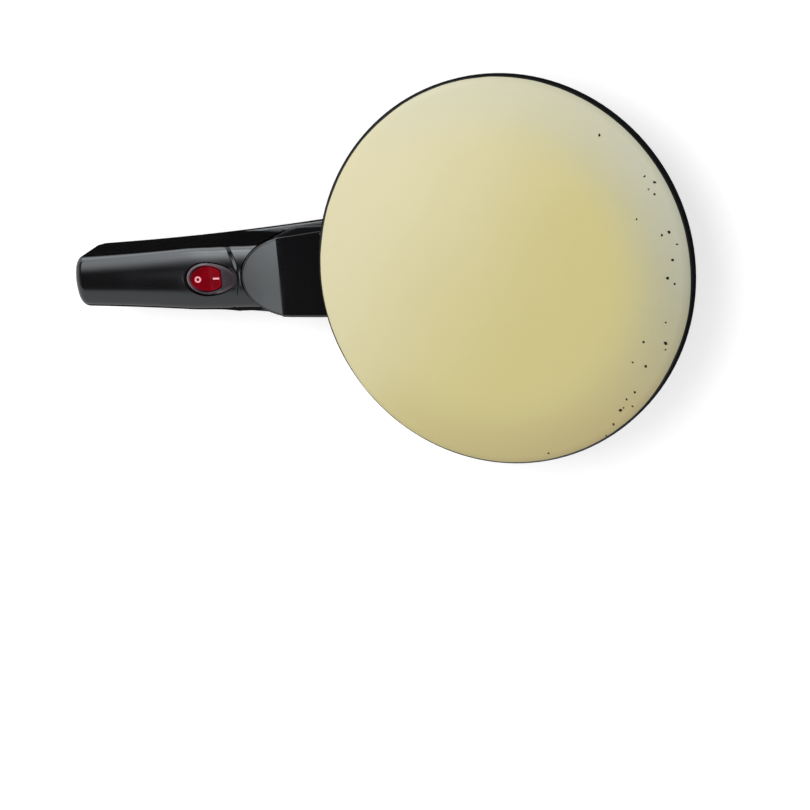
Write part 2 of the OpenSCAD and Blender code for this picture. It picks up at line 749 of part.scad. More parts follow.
module fuse_clip() {
    r = fuse_d / 2 + touch;
    z = fuse_z();
    color("#b9bcc0") placed() at(stat_reach, fuse_y) difference() {
        union() {
            translate([-4, -r - 0.8, z - r - 0.8]) cube([8, 2 * r + 1.6, r + 0.8]);
            translate([-4, 0, z - 0.8]) cube([8, fuse_screw_y() + 3.5, 0.8]);
        }
        translate([-5, 0, z]) rotate([0, 90, 0]) cylinder(r = r, h = 10, $fn = 24);
        translate([0, fuse_screw_y(), 0]) rod(small_screw_d / 2 + fit, 0, crown_z);
    }
}

module fuse_screw() {
    color("#c9ccd0") placed() at(stat_reach, fuse_y + fuse_screw_y())
        screw_up(small_screw_d, small_head_d(), fuse_z() - 0.8 - touch, ceiling_z(45) - 0.5);
}

module earth_screw() {
    color("#c9b56a") placed() at(earth_reach, earth_y)
        screw_up(small_screw_d, small_head_d(), earth_z - touch, ceiling_z(75) - 0.5);
}

// ---------- Base ----------

module base_solid(inset, high) {
    rotate_extrude($fn = 144) polygon(concat(base_face(inset), [[0, high]]));
}

module rim_flange() {
    rotate_extrude($fn = 144) polygon([[rim_r - rim_w, rim_z - rim_h - 1], [wall_top_r - 2, wall_top_z - 1],
        [wall_top_r, wall_top_z], [rim_r, rim_z - 1], [rim_r - 0.6, rim_z], [rim_r - rim_w, rim_z]]);
}

module base_housing() {
    pillar_r = head_d / 2 + 0.6 + 2;
    color("#17181a") placed() difference() {
        union() {
            difference() {
                base_solid(0, wall_top_z);
                base_solid(base_wall, wall_top_z + cut);
            }
            rim_flange();
            intersection() {
                base_solid(0, wall_top_z);
                at_bosses() rod(pillar_r, foot_h, shield_z);
            }
            difference() {
                lower_body(neck_root, joint_reach, 0, split_z);
                lower_hollow(neck_root - cut, joint_reach + cut);
                base_solid(base_wall / 2, wall_top_z + cut);
            }
            for (s = [bracket_holes[0], bracket_holes[1]], side = [-1, 1]) at(s, side * bracket_y)
                rod(3.4, under_z + 1, bracket_z());
            for (side = [-1, 1]) at(neck_screw_reach, side * neck_screw_y)
                rod(head_d / 2 + 1.2, under_z + 1, neck_post_z());
            for (a = foot_angles) rotate(a) translate([foot_reach, 0, 0]) rod(5, foot_h, foot_h + 6);
        }
        at_bosses() {
            rod(head_d / 2 + 0.6, 0, counterbore_z());
            rod(screw_d / 2 + 0.3, 0, crown_z);
        }
        for (a = foot_angles) rotate(a) translate([foot_reach, 0, 0]) rod(3 + fit, 0, foot_h + 4 + fit);
        for (side = [-1, 1]) at(neck_screw_reach, side * neck_screw_y) {
            rod(head_d / 2 + 0.3, 0, under_z + head_h + 0.5);
            rod(screw_d / 2 + 0.3, 0, crown_z);
        }
        for (s = [bracket_holes[0], bracket_holes[1]], side = [-1, 1]) at(s, side * bracket_y)
            rod(small_screw_d / 2 + fit, floor_z, crown_z);
        // passage from the base into the neck
        at(plate_r - 18) block(24, 34, floor_z + 1, facet_end_z - 3.5);
        vents();
        // blank recess for a rating label
        at(0, -20) block(40, 20, 0, foot_h + 0.5);
    }
}

// Slots in a ring round the middle of the underside
module vents() {
    for (a = [0:30:330]) rotate(a) translate([vent_reach, 0, 0])
        block(vent_l, vent_w, 0, foot_h + base_wall + cut);
}

function counterbore_z() = shield_z - 10;
function bracket_z() = floor_z + 2;
function neck_post_z() = under_z + head_h + 3.5;

module feet() {
    color("#2a2a2b") placed() for (a = foot_angles) rotate(a) translate([foot_reach, 0, 0]) {
        rotate_extrude() polygon([[0, 0], [foot_d / 2 - 0.8, 0], [foot_d / 2, 0.8],
            [foot_d / 2, foot_h - touch], [0, foot_h - touch]]);
        rod(3, foot_h - 2 * touch, foot_h + 4);
    }
}

module housing_screws() {
    color("#c9ccd0") placed() at_bosses()
        screw_up(screw_d, head_d, counterbore_z() - touch, boss_hole_z() - 1);
}

module rim_seal() {
    color("#3d3f42") placed() difference() {
        rod(rim_r - 0.6, rim_z + touch, plate_z - touch, $fn = 144);
        rod(plate_r - plate_wall - 2, 0, crown_z, $fn = 144);
    }
}

// ---------- Neck cover and handle ----------

module neck_cover() {
    g = mould_gap;
    start = cover_root;
    slopes = [[start - cut, split_z], [start - cut, facet_end_z], [facet_end_reach, facet_end_z],
        [facet_mid_reach, cover_z - facet_drop], [facet_reach, cover_z], [tongue_reach + 9, cover_z],
        [tongue_reach + 9, split_z]];
    color("#1a1b1d") placed() difference() {
        union() {
            difference() {
                intersection() {
                    tongue_prism(0, split_z, cover_z, start);
                    translate([0, 60, 0]) rotate([90, 0, 0]) linear_extrude(120)
                        polygon([for (p = slopes) [-p[0], p[1]]]);
                }
                upper_body(cover_t - g, facet_end_reach - 20);
            }
            intersection() {
                for (side = [-1, 1]) at(neck_screw_reach, side * neck_screw_y)
                    rod(3.6, neck_post_z() + touch, facet_end_z);
                tongue_prism(0, 0, facet_end_z, start);
            }
        }
        // scribed to the base's wall and rim
        base_solid(-g, wall_top_z);
        rod(wall_top_r + g, wall_top_z - 4, rim_z, $fn = 144);
        for (side = [-1, 1]) at(neck_screw_reach, side * neck_screw_y)
            rod(screw_d / 2 + fit, 0, neck_screw_top() + 1);
    }
}

function neck_screw_top() = neck_post_z() + 12;

module neck_screws() {
    color("#c9ccd0") placed() for (side = [-1, 1]) at(neck_screw_reach, side * neck_screw_y)
        screw_up(screw_d, head_d, under_z + head_h + 0.5 - touch, neck_screw_top());
}

module switch_cut() {
    at(switch_reach) {
        recess_floor = [housing_a + lip_w + 0.3, housing_b + lip_w + 0.3];
        // flared recess, longer towards the plate
        n = 48;
        low = [for (p = oval(recess_floor[0], recess_floor[1], n)) [p[0], p[1], floor_cut_z]];
        high = [for (p = oval(recess_floor[0] + recess_flare, recess_floor[1] + recess_flare, n))
            [p[0] + (p[0] > 0 ? recess_lead * p[0] / recess_floor[0] : 0), p[1], pad_z + 0.5]];
        polyhedron(concat(low, high), concat([[for (j = [0:n - 1]) j]],
            [for (j = [0:n - 1], k = [0, 1]) let (j1 = (j + 1) % n)
                k == 0 ? [j, n + j1, j1] : [j, n + j, n + j1]],
            [[for (j = [n - 1:-1:0]) n + j]]));
        translate([0, 0, housing_z - cut]) linear_extrude(floor_cut_z - housing_z + 2 * cut)
            polygon(oval(housing_a + mould_gap, housing_b + mould_gap));
    }
}

module handle_top() {
    color("#1a1b1d") placed() difference() {
        union() {
            difference() {
                upper_body(0, spigot_reach);
                difference() {
                    tongue_prism(mould_gap, split_z - cut, cover_z + cut, spigot_reach - 10);
                    upper_body(cover_t, spigot_reach - 5);
                }
                upper_hollow();
            }
            intersection() {
                upper_body(0.3, spigot_reach + 1);
                union() {
                    // thick floor round the switch
                    at(switch_reach - 1)
                        block(2 * housing_a + 10, 2 * housing_b + 5, floor_cut_z - 2.4, pad_z);
                    for (p = handle_screw_places, side = [-1, 1]) at(p[0], side * p[1])
                        rod(3.5, split_z + touch, pad_z);
                }
            }
        }
        switch_cut();
        for (p = handle_screw_places, side = [-1, 1]) at(p[0], side * p[1])
            rod(screw_d / 2 + fit, 0, split_z + 13);
        gland_hole();
    }
}

// Hole in the end wall, with the flat seat of the gland's inner flange
module gland_hole() {
    at(handle_end + cut, 0, entry_z) rotate([0, 90, 0]) cylinder(r = gland_d / 2 + fit, h = 12);
    at(handle_end - shell_wall, 0, entry_z) rotate([0, 90, 0])
        cylinder(r = gland_d / 2 + inner_flange + 0.2, h = gland_seat);
}

module handle_bottom() {
    color("#1a1b1d") placed() difference() {
        union() {
            difference() {
                lower_body(joint_reach + mould_gap, handle_end, 0, split_z - touch);
                lower_hollow(joint_reach - cut, handle_end);
            }
            for (p = handle_screw_places, side = [-1, 1]) at(p[0], side * p[1])
                rod(head_d / 2 + 1.2, under_z + 1, split_z - touch);
            for (s = [bracket_holes[2], bracket_holes[3]], side = [-1, 1]) at(s, side * bracket_y)
                rod(3, under_z + 1, bracket_z());
            for (side = [-1, 1]) at(clamp_bar_reach, side * post_y) rod(2.8, under_z + 1, clamp_bar_z());
            at(block_reach) rod(3, under_z + 1, block_z + touch);
        }
        for (p = handle_screw_places, side = [-1, 1]) at(p[0], side * p[1]) {
            rod(head_d / 2 + 0.3, 0, under_z + head_h + 0.5);
            rod(screw_d / 2 + 0.3, 0, crown_z);
        }
        for (s = [bracket_holes[2], bracket_holes[3]], side = [-1, 1]) at(s, side * bracket_y)
            rod(small_screw_d / 2 + fit, floor_z, crown_z);
        for (side = [-1, 1]) at(clamp_bar_reach, side * post_y)
            rod(small_screw_d / 2 + fit, floor_z, crown_z);
        gland_hole();
    }
}

module handle_screws() {
    color("#c9ccd0") placed() for (p = handle_screw_places, side = [-1, 1]) at(p[0], side * p[1])
        screw_up(screw_d, head_d, under_z + head_h + 0.5 - touch, split_z + 12);
}

module handle_bracket() {
    z = bracket_z() + touch;
    from = bracket_holes[0] - 7;
    to = bracket_holes[3] + 5;
    color("#b3b6ba") placed() difference() {
        at((from + to) / 2) union() {
            block(to - from, 18, z, z + 2);
            for (side = [-1, 1]) translate([0, side * 8.25, 0]) block(to - from, 1.5, z, z + 5);
        }
        for (s = bracket_holes, side = [-1, 1]) at(s, side * bracket_y)
            rod(small_screw_d / 2 + fit, 0, crown_z);
    }
}

module bracket_screws() {
    color("#c9ccd0") placed() for (s = bracket_holes, side = [-1, 1]) at(s, side * bracket_y)
        screw_down(small_screw_d, small_head_d(), bracket_z() + 2 + 2 * touch, floor_z + 0.3);
}

// ---------- Switch ----------

module oval_prism(a, b, low, high) {
    translate([0, 0, low]) linear_extrude(high - low) polygon(oval(a, b));
}

module switch_housing() {
    color("#4c4a4c") placed() at(switch_reach) difference() {
        union() {
            oval_prism(housing_a, housing_b, housing_z, floor_cut_z + touch);
            oval_prism(housing_a + lip_w, housing_b + lip_w, floor_cut_z + touch, bezel_z);
        }
        difference() {
            oval_prism(window_a, window_b, housing_z + 2, bezel_z + cut);
            translate([window_a - land_l / 2, 0, 0])
                block(land_l, 2 * window_b, bezel_z - land_t, bezel_z + 2 * cut);
        }
        translate([0, housing_b + cut, pivot_z]) rotate([90, 0, 0])
            cylinder(r = trunnion_d / 2 + fit, h = 2 * (housing_b + cut));
        for (side = [-1, 0, 1]) translate([side * blade_pitch, 0, 0])
            block(blade_t + 2 * fit, blade_w + 2 * fit, 0, housing_z + 2 + cut);
    }
}

// Everything on the rocker is drawn level and then tipped to its on position
module tipped() {
    placed() at(switch_reach, 0, pivot_z) rotate([0, dish_angle, 0]) children();
}

module switch_rocker() {
    rise = rocker_a * tan(dish_angle);
    color("#c0132f") tipped() difference() {
        union() {
            intersection() {
                oval_prism(rocker_a, rocker_b, -2.4, dish_z + rise + 1);
                // straight end towards the plate
                translate([rocker_front - rocker_a, 0, 0])
                    block(2 * rocker_a, 2 * rocker_b, -3, dish_z + rise + 2);
                translate([0, 20, 0]) rotate([90, 0, 0]) cylinder(r = end_sweep, h = 40, $fn = 96);
                translate([0, 20, 0]) rotate([90, 0, 0]) linear_extrude(40)
                    polygon([[-rocker_a - 1, -2.4], [rocker_a + 1, -2.4], [rocker_a + 1, dish_z + rise * 1.1],
                        [0, dish_z], [-rocker_a - 1, dish_z + rise * 1.1]]);
            }
            rod(2.2, -4, 0);
            translate([0, window_b + switch_wall - 0.3, 0]) rotate([90, 0, 0])
                cylinder(r = trunnion_d / 2, h = 2 * (window_b + switch_wall - 0.3));
        }
        rod(1.2, -5, 1.5);
        mark_shapes(0.25, 0.03);
    }
}

// The I near the plate and the O near the hand, lying in the two halves of the face
module mark_shapes(depth, gap) {
    bar_away = rocker_front - 2.9;
    ring_away = 5.4;
    slope = atan(rocker_a * tan(dish_angle) * 1.1 / (rocker_a + 1));
    proud = gap > 0 ? cut : 0.04;
    translate([bar_away, 0, dish_z + bar_away * tan(slope)]) rotate([0, -slope, 0])
        block(3.8 + 2 * gap, 1 + 2 * gap, -depth, proud);
    translate([-ring_away, 0, dish_z + ring_away * tan(slope)]) rotate([0, slope, 0]) difference() {
        rod(1.75 + gap, -depth, proud, $fn = 32);
        rod(0.85 - gap, -depth - cut, 2 * cut, $fn = 32);
    }
}

module rocker_marks() {
    color("#f6d9dc") tipped() mark_shapes(0.2, 0);
}

module rocker_plunger() {
    color("#c9ccd0") tipped() {
        rod(1.15, -plunger_drop + 0.8, 1.4, $fn = 24);
        translate([0, 0, -plunger_drop]) sphere(r = plunger_r, $fn = 24);
        rod(plunger_r, -plunger_drop, -plunger_drop + 1, $fn = 24);
    }
}

module switch_seesaw() {
    color("#c9a24a") placed() at(switch_reach, 0, seesaw_pin_z) rotate([0, -seesaw_tilt, 0]) union() {
        block(seesaw_l, 3, seesaw_lift, seesaw_lift + seesaw_t);
        translate([0, ear_w / 2, 0]) rotate([90, 0, 0]) cylinder(r = seesaw_pin_r, h = ear_w, $fn = 24);
    }
}

module switch_terminals() {
    low = housing_z - blade_l;
    base = housing_z + 2;
    contact_z = seesaw_pin_z + seesaw_lift - (blade_pitch + blade_t / 2) * tan(seesaw_tilt) - 0.3;
    color("#d0b06a") placed() at(switch_reach) {
        // middle blade, with the two ears that carry the seesaw
        difference() {
            union() {
                block(blade_t, blade_w, low, base + 1);
                block(2.4, ear_w, base + touch, base + 1);
                for (side = [-1, 1]) translate([0, side * (ear_w - 1) / 2, 0])
                    block(2.4, 1, base + touch, seesaw_pin_z + seesaw_pin_r + 0.6);
            }
            translate([0, ear_w, seesaw_pin_z]) rotate([90, 0, 0])
                cylinder(r = seesaw_pin_r + fit, h = 2 * ear_w, $fn = 24);
            blade_hole(0, low);
        }
        // live contact under the end that the seesaw closes, and the lamp's low neutral tap at the other end
        for (place = [[-blade_pitch, contact_z], [blade_pitch, base + 1.5]]) difference() {
            translate([place[0], 0, 0]) block(blade_t, blade_w, low, place[1]);
            blade_hole(place[0], low);
        }
    }
}

module blade_hole(x, low) {
    translate([x - 2, 0, low + 3]) rotate([0, 90, 0]) cylinder(r = 0.8, h = 4);
}

module switch_lamp() {
    color("#f0a070") placed() at(switch_reach + 4.5, 4.7, housing_z + 2 + lamp_r + touch) rotate([0, 90, 0])
        cylinder(r = lamp_r, h = 9, $fn = 24);
}

// ---------- Cord entry and wiring ----------

module terminal_block() {
    color("#e8e6df") placed() at(block_reach) difference() {
        block(block_l, block_w, block_z + touch, block_z + block_h);
        for (k = [-1, 0, 1]) translate([-block_l / 2 - cut, k * pole_pitch, pole_z]) rotate([0, 90, 0])
            cylinder(r = wire_d / 2 + 0.6, h = block_l + 2 * cut, $fn = 24);
        for (k = [-1, 0, 1], side = [-1, 1]) translate([side * block_l / 4, k * pole_pitch, 0])
            rod(1.6 + fit, pole_z, block_z + block_h + cut);
    }
}

module terminal_screws() {
    color("#c9b56a") placed() for (k = [-1, 0, 1], side = [-1, 1])
        at(block_reach + side * block_l / 4, k * pole_pitch)
            rod(1.6, pole_z + wire_d / 2 + 0.1, block_z + block_h - 0.5);
}

module cord_gland() {
    waist = shell_wall + 0.1;
    inner = handle_end - waist - 2.5;
    r = gland_d / 2;
    color("#151516") placed() translate([-handle_reach, 0, entry_z]) rotate([0, 90, 0]) difference() {
        rotate_extrude() polygon([[0, 0], [r - 0.4, 0], [r + gland_flange, gland_proud - 1.2],
            [r + gland_flange, gland_proud - touch], [r, gland_proud - touch], [r, gland_proud + waist],
            [r + inner_flange, gland_proud + waist], [r + inner_flange, gland_proud + waist + 1],
            [r, handle_reach - inner], [0, handle_reach - inner]]);
        translate([0, 0, -cut]) cylinder(r = gland_bore / 2, h = handle_reach - inner + 2 * cut);
    }
}

function clamp_bar_z() = entry_z + gland_bore / 2 + 0.2;

module cord_clamp() {
    z = clamp_bar_z() + touch;
    color("#202123") placed() at(clamp_bar_reach) difference() {
        union() {
            block(7, 2 * post_y + 6, z, z + 2.4);
            block(2, 6, z - 1, z);
        }
        for (side = [-1, 1]) translate([0, side * post_y, 0]) rod(small_screw_d / 2 + fit, 0, crown_z);
    }
}

module cord_clamp_screws() {
    color("#c9ccd0") placed() for (side = [-1, 1]) at(clamp_bar_reach, side * post_y)
        screw_down(small_screw_d, small_head_d(), clamp_bar_z() + 2.4 + 2 * touch, floor_z + 0.3);
}

wire_r = wire_d / 2;
thin_r = wire_r * 0.7;
// Height at which wires lie in the neck, on the insulation and at the blades
neck_wire_z = bracket_z() + 8;
plate_wire_z = cavity_z + wire_r + 0.2;
blade_wire_z = housing_z - blade_l - wire_r - 0.1;
// Ends of the wires in the terminal block, and where they leave it
block_end = block_reach - block_l / 2 + 2;
block_face = block_reach - block_l / 2;
// Underside of the element's tabs, and the middle of the thermostat's
element_tab_z = element_z - 0.5;
stat_tab_z = stat_strap_z() - 3.4;
stat_tab_x = stat_d / 2 + 4.1;

// Reaches and heights that the wires pass: out of the block, round the switch, along the neck
// and up to the plate
fan = block_face - 10;
round_end = switch_reach + housing_a + 2.8;
round_front = switch_reach - housing_a + 2.2;
neck_in = tongue_reach;
neck_out = joint_reach - 14;
rise = neck_reach - 6;
low_z = blade_wire_z + 3.2;
rise_z = neck_wire_z + 5.8;
up_z = plate_wire_z - 6.3;

module live_wire() {
    s = switch_reach + blade_pitch;
    color("#7a4a2a") placed() wire(route([[-block_end, 0, pole_z], [-block_face + 4, 0, pole_z],
        [-fan - 1, 0, pole_z - 0.7], [-s - 6.5, 0, blade_wire_z + 1.2], [-s - 3, 0, blade_wire_z],
        [-s, 0, blade_wire_z]]), wire_r);
}

module switched_wire() {
    s = switch_reach;
    color("#7a4a2a") placed() wire(route([[-s, 1.4, blade_wire_z], [-s + 4, 2.4, blade_wire_z],
        [-s + 8.5, 2.8, blade_wire_z], [-neck_in - 4.8, 3, low_z], [-neck_in, 2.5, neck_wire_z],
        [-neck_out, 2.5, neck_wire_z], [-rise, 2.5, neck_wire_z], [-rise + 9, 2, rise_z],
        [-rise + 13, 1.5, up_z],
        [-rise + 20, 1, plate_wire_z], [-stat_reach - stat_tab_x - 19.9, 0.5, plate_wire_z],
        [-stat_reach - stat_tab_x, 0, stat_tab_z]]), wire_r);
}

// From the thermostat to the fuse, and from the fuse to the element, low under the ring
module fuse_lead() {
    end = stat_reach + fuse_l / 2 + 0.2;
    start = stat_reach - fuse_l / 2 - 0.2;
    ring_z = element_z - tube_r - thin_r - 1;
    color("#d9d2c0") placed() {
        wire(route([[-stat_reach + stat_tab_x + 0.4, 0, stat_tab_z],
            [-stat_reach + stat_tab_x + 5, 3, stat_tab_z],
            [-start + 9, fuse_y - 14, fuse_z() - 4.6], [-start + 6, fuse_y - 3, fuse_z()],
            [-start, fuse_y, fuse_z()]]), thin_r);
        wire(route([[-end, fuse_y, fuse_z()], [-end - 4, fuse_y - 1, fuse_z() - 1.5],
            [-element_r + 12, fuse_y - 5, ring_z], [-element_r - 4, fuse_y - 10, ring_z],
            [-tab_reach() + 8.5, leg_half() + 3.7, ring_z + 2], [-tab_reach(), leg_half() + 0.4, ring_z + 1],
            [-tab_reach() - 1, leg_half(), element_tab_z - 1.2],
            [-tab_reach() - 1, leg_half(), element_tab_z]]), thin_r);
    }
}

module neutral_wire() {
    color("#2b5fa8") placed() wire(route([[-block_end, -pole_pitch, pole_z],
        [-block_face + 4, -pole_pitch, pole_z], [-fan, -4.8, pole_z], [-round_end, -5, pole_z - 0.7],
        [-round_end + 8, -6, low_z], [-round_front, -6, low_z],
        [-neck_in, -6, neck_wire_z], [-neck_out, -6, neck_wire_z], [-rise, -7, neck_wire_z],
        [-rise + 9, -8.5, rise_z], [-rise + 11, -10, up_z], [-tab_reach() - 1, -leg_half(), cavity_z + 2],
        [-tab_reach() - 1, -leg_half(), element_tab_z]]), wire_r);
}

module lamp_wire() {
    s = switch_reach - blade_pitch;
    color("#2b5fa8") placed() wire(route([[-s, -1.2, blade_wire_z], [-s - 6, -2.6, blade_wire_z],
        [-s - 14.5, -2.8, blade_wire_z], [-fan - 1, -3.5, blade_wire_z + 0.7],
        [-block_face + 0.3, -pole_pitch, pole_z - 2]]), thin_r);
}

module earth_wire() {
    color("#5f9a3a") placed() wire(route([[-block_end, pole_pitch, pole_z],
        [-block_face + 4, pole_pitch, pole_z], [-fan, 4.8, pole_z], [-round_end, 5, pole_z - 0.7],
        [-round_end + 8, 6, low_z], [-round_front, 6.5, low_z], [-neck_in, 7, neck_wire_z],
        [-neck_out, 7, neck_wire_z], [-rise, 7.5, neck_wire_z], [-rise + 9, 9, rise_z],
        [-rise + 13, 11, up_z - 1], [-rise + 15.5, 12.2, plate_wire_z - 2],
        [-rise + 18.5, 14.5, plate_wire_z + 0.6],
        [-rise + 22, 22, plate_wire_z + 0.2], [-earth_reach - 4, earth_y - 1, earth_z - 1.5]]), wire_r);
}

cooking_plate();
batter_coat();
heating_element();
element_ends();
element_clamps();
clamp_screws();
insulation_disc();
heat_shield();
thermostat();
thermostat_bracket();
thermostat_screws();
thermal_fuse();
fuse_clip();
fuse_screw();
earth_screw();
rim_seal();
base_housing();
feet();
housing_screws();
neck_cover();
neck_screws();
handle_top();
handle_bottom();
handle_screws();
handle_bracket();
bracket_screws();
switch_housing();
switch_rocker();
rocker_marks();
rocker_plunger();
switch_seesaw();
switch_terminals();
switch_lamp();
terminal_block();
terminal_screws();
cord_gland();
cord_clamp();
cord_clamp_screws();
live_wire();
switched_wire();
fuse_lead();
neutral_wire();
lamp_wire();
earth_wire();
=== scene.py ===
# %% [markdown]
# # An electric crepe maker, dressed for the camera
# The tool is a heated dome on a handle. It is dipped upside down into batter, and a thin crepe sets on it.
# The construction comes packed as a frame of named solids in metres. This notebook keeps that frame fixed
# and works on the looks: it makes finer pieces where the eye rests, and gives every piece its real finish.

# %% Load the frame
import math

import bmesh
import bpy
from mathutils import Matrix, Quaternion, Vector, noise


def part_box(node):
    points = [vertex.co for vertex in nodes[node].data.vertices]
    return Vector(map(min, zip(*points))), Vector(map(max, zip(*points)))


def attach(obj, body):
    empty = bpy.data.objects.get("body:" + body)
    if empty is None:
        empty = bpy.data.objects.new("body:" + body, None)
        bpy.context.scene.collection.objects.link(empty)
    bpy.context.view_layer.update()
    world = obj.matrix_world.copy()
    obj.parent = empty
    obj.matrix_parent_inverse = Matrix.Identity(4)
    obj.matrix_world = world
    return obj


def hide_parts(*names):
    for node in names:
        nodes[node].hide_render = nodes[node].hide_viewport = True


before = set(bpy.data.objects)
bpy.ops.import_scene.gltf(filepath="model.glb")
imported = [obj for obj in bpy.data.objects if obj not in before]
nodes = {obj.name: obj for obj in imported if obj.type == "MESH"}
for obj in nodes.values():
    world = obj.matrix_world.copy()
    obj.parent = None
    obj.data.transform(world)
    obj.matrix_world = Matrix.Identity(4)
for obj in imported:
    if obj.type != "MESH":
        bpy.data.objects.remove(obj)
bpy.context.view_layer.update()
MM = 0.001

# %% [markdown]
# ## Sizes
# All sizes are in millimetres. A reach is a distance from the plate's axis towards the end of the handle.
# What the frame can tell, such as the plate's radius, is read from it and stays right when the construction
# is packed anew. The rest are the moulder's own sizes.

# %% Read the shared sizes from the frame
plate_low, plate_high = [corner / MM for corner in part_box("cooking_plate")]
plate_x = (plate_low.x + plate_high.x) / 2
plate_r = (plate_high.x - plate_low.x) / 2
split_z = 22.0  # the height at which the two handle shells meet
handle_end = plate_x - (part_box("handle_bottom")[0] / MM).x
pad_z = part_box("handle_top")[1].z / MM
bezel_low, bezel_high = [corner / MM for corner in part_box("switch_housing")]
switch_x = (bezel_low.x + bezel_high.x) / 2
print("plate radius", round(plate_r, 2), "handle end", round(handle_end, 2), "pad at z", round(pad_z, 2),
      "switch at x", round(switch_x, 2))

# %% [markdown]
# ## Camera
# An 85 mm lens looks down from about a metre above and beyond the plate. So long a lens keeps the circle of
# the plate from bulging towards the viewer. The camera could be set by three angles, but a place, a point to
# look at and a roll are easier to read: the roll turns the picture until the handle lies across the frame.

# %% Place the camera
camera_place = Vector((395.34, 156.75, 955.01)) * MM
camera_target = Vector((18.4, -69.76, 46.0)) * MM
camera_roll = math.radians(-123.56)
lens = bpy.data.cameras.new("camera")
lens.lens = 85
lens.sensor_width = 36
camera = bpy.data.objects.new("camera", lens)
camera.location = camera_place
aim = (camera_place - camera_target).to_track_quat("Z", "Y")
camera.rotation_euler = (aim @ Quaternion((0, 0, 1), camera_roll)).to_euler()
bpy.context.scene.collection.objects.link(camera)
bpy.context.scene.camera = camera
bpy.context.scene.view_settings.view_transform = "Standard"
print("camera", [round(v / MM) for v in camera_place], "roll", round(math.degrees(camera_roll), 1))

# %% [markdown]
# ## Tools for materials
# Every finish is a small network of nodes round one shader. Painted images could do the same, but they need
# unwrapped pieces and show seams, and noise from nodes does neither. One small function adds a node with its
# settings and links, so each line below reads as one node. Colours are written as sRGB codes, as a paint
# chart gives them, and turned into the linear values that the shader works in. Patterns are placed on Object
# coordinates, which are metres from the frame's origin, so a pattern with a grain of so many millimetres has
# a scale of one over that grain in metres.

# %% Read a colour
def linear(code):
    """An sRGB code such as #c0ffee as linear red, green, blue and full alpha."""
    channels = [int(code[i:i + 2], 16) / 255 for i in (1, 3, 5)]
    return [c / 12.92 if c <= 0.04045 else ((c + 0.055) / 1.055) ** 2.4 for c in channels] + [1.0]


print("white is", linear("#ffffff"), "mid grey is", [round(v, 3) for v in linear("#808080")])

# %% Add a node
def feed(tree, node, inputs):
    """Fills a node's inputs with values, with sockets, or with the first output in use of other nodes."""
    for socket, value in dict(inputs).items():
        if isinstance(value, bpy.types.Node):
            value = next(output for output in value.outputs if output.enabled)
        if isinstance(value, bpy.types.NodeSocket):
            tree.links.new(value, node.inputs[socket])
        else:
            node.inputs[socket].default_value = value


def add(tree, kind, inputs=(), stops=(), **settings):
    """Adds a shader node, such as "Math" for ShaderNodeMath. Stops are the places and colours of a colour
    ramp, the colours as codes or as grey levels."""
    node = tree.nodes.new("ShaderNode" + kind)
    for name, value in settings.items():
        setattr(node, name, value)
    feed(tree, node, inputs)
    for number, (place, colour) in enumerate(stops):
        elements = node.color_ramp.elements
        element = elements[number] if number < len(elements) else elements.new(place)
        element.position = place
        element.color = linear(colour) if isinstance(colour, str) else [colour] * 3 + [1]
        node.color_ramp.interpolation = "EASE"
    return node


def per_mm(grain):
    """The scale of a pattern with a grain of so many millimetres."""
    return 1 / (grain * MM)


print("a pattern with a grain of 2 mm has a scale of", per_mm(2))

# %% Start a finish
def start_finish(name, colour, roughness, **sockets):
    """Starts a material with a plain shader, and gives its tree, its shader and the place on the object."""
    finish = bpy.data.materials.new(name)
    finish.use_nodes = True
    tree = finish.node_tree
    shader = tree.nodes["Principled BSDF"]
    named = {socket.replace("_", " "): value for socket, value in sockets.items()}
    feed(tree, shader, {"Base Color": linear(colour), "Roughness": roughness, **named})
    place = add(tree, "TexCoord").outputs["Object"]
    return finish, tree, shader, place


print("materials before the first finish:", len(bpy.data.materials))

# %% [markdown]
# ## Phenolic mouldings
# The casing is black phenolic resin, pressed in a polished steel mould. It looks deep black with a high
# gloss, a faint orange-peel from the flow of the resin and, close up, slightly paler specks of its
# wood-flour filler. Handling has dulled it here and there, which the roughness shows. One flat black would
# do from afar, but not close up. Such a black is all reflection: its own colour is nearly nothing, and the
# refraction index sets how bright a mirror it is.

# %% Black phenolic
# The specks are drawn coarser than the real flour, which is too fine to show
shell_finish, tree, shader, place = start_finish("black_phenolic", "#0c0b0d", 0.14, IOR=1.6)
flow = add(tree, "TexNoise", {"Vector": place, "Scale": per_mm(14), "Detail": 3.0})
patches = add(tree, "TexNoise", {"Vector": place, "Scale": per_mm(38), "Detail": 5.0})
filler = add(tree, "TexNoise", {"Vector": place, "Scale": per_mm(0.6), "Detail": 1.0})
feed(tree, shader, {
    "Base Color": add(tree, "ValToRGB", {"Fac": filler}, [(0.55, "#0b0a0c"), (0.82, "#141315")]),
    "Roughness": add(tree, "ValToRGB", {"Fac": patches}, [(0.35, 0.12), (0.75, 0.18)]),
    "Normal": add(tree, "Bump", {"Height": flow, "Distance": 0.02 * MM}),
})
print("phenolic: IOR", shader.inputs["IOR"].default_value, "nodes", len(tree.nodes))

# %% [markdown]
# ## Non-stick coating
# The plate is die-cast aluminium with a sprayed and baked black non-stick coating (PTFE). It gives a satin
# near-black with a very fine pebble from the spray, and tiny mica glints. PTFE has a low refraction index,
# so its sheen is weaker than the casing's, and that is what tells the two blacks apart. The pebble could be
# real relief in the mesh, but at this size a bump in the shading looks the same and costs no faces.

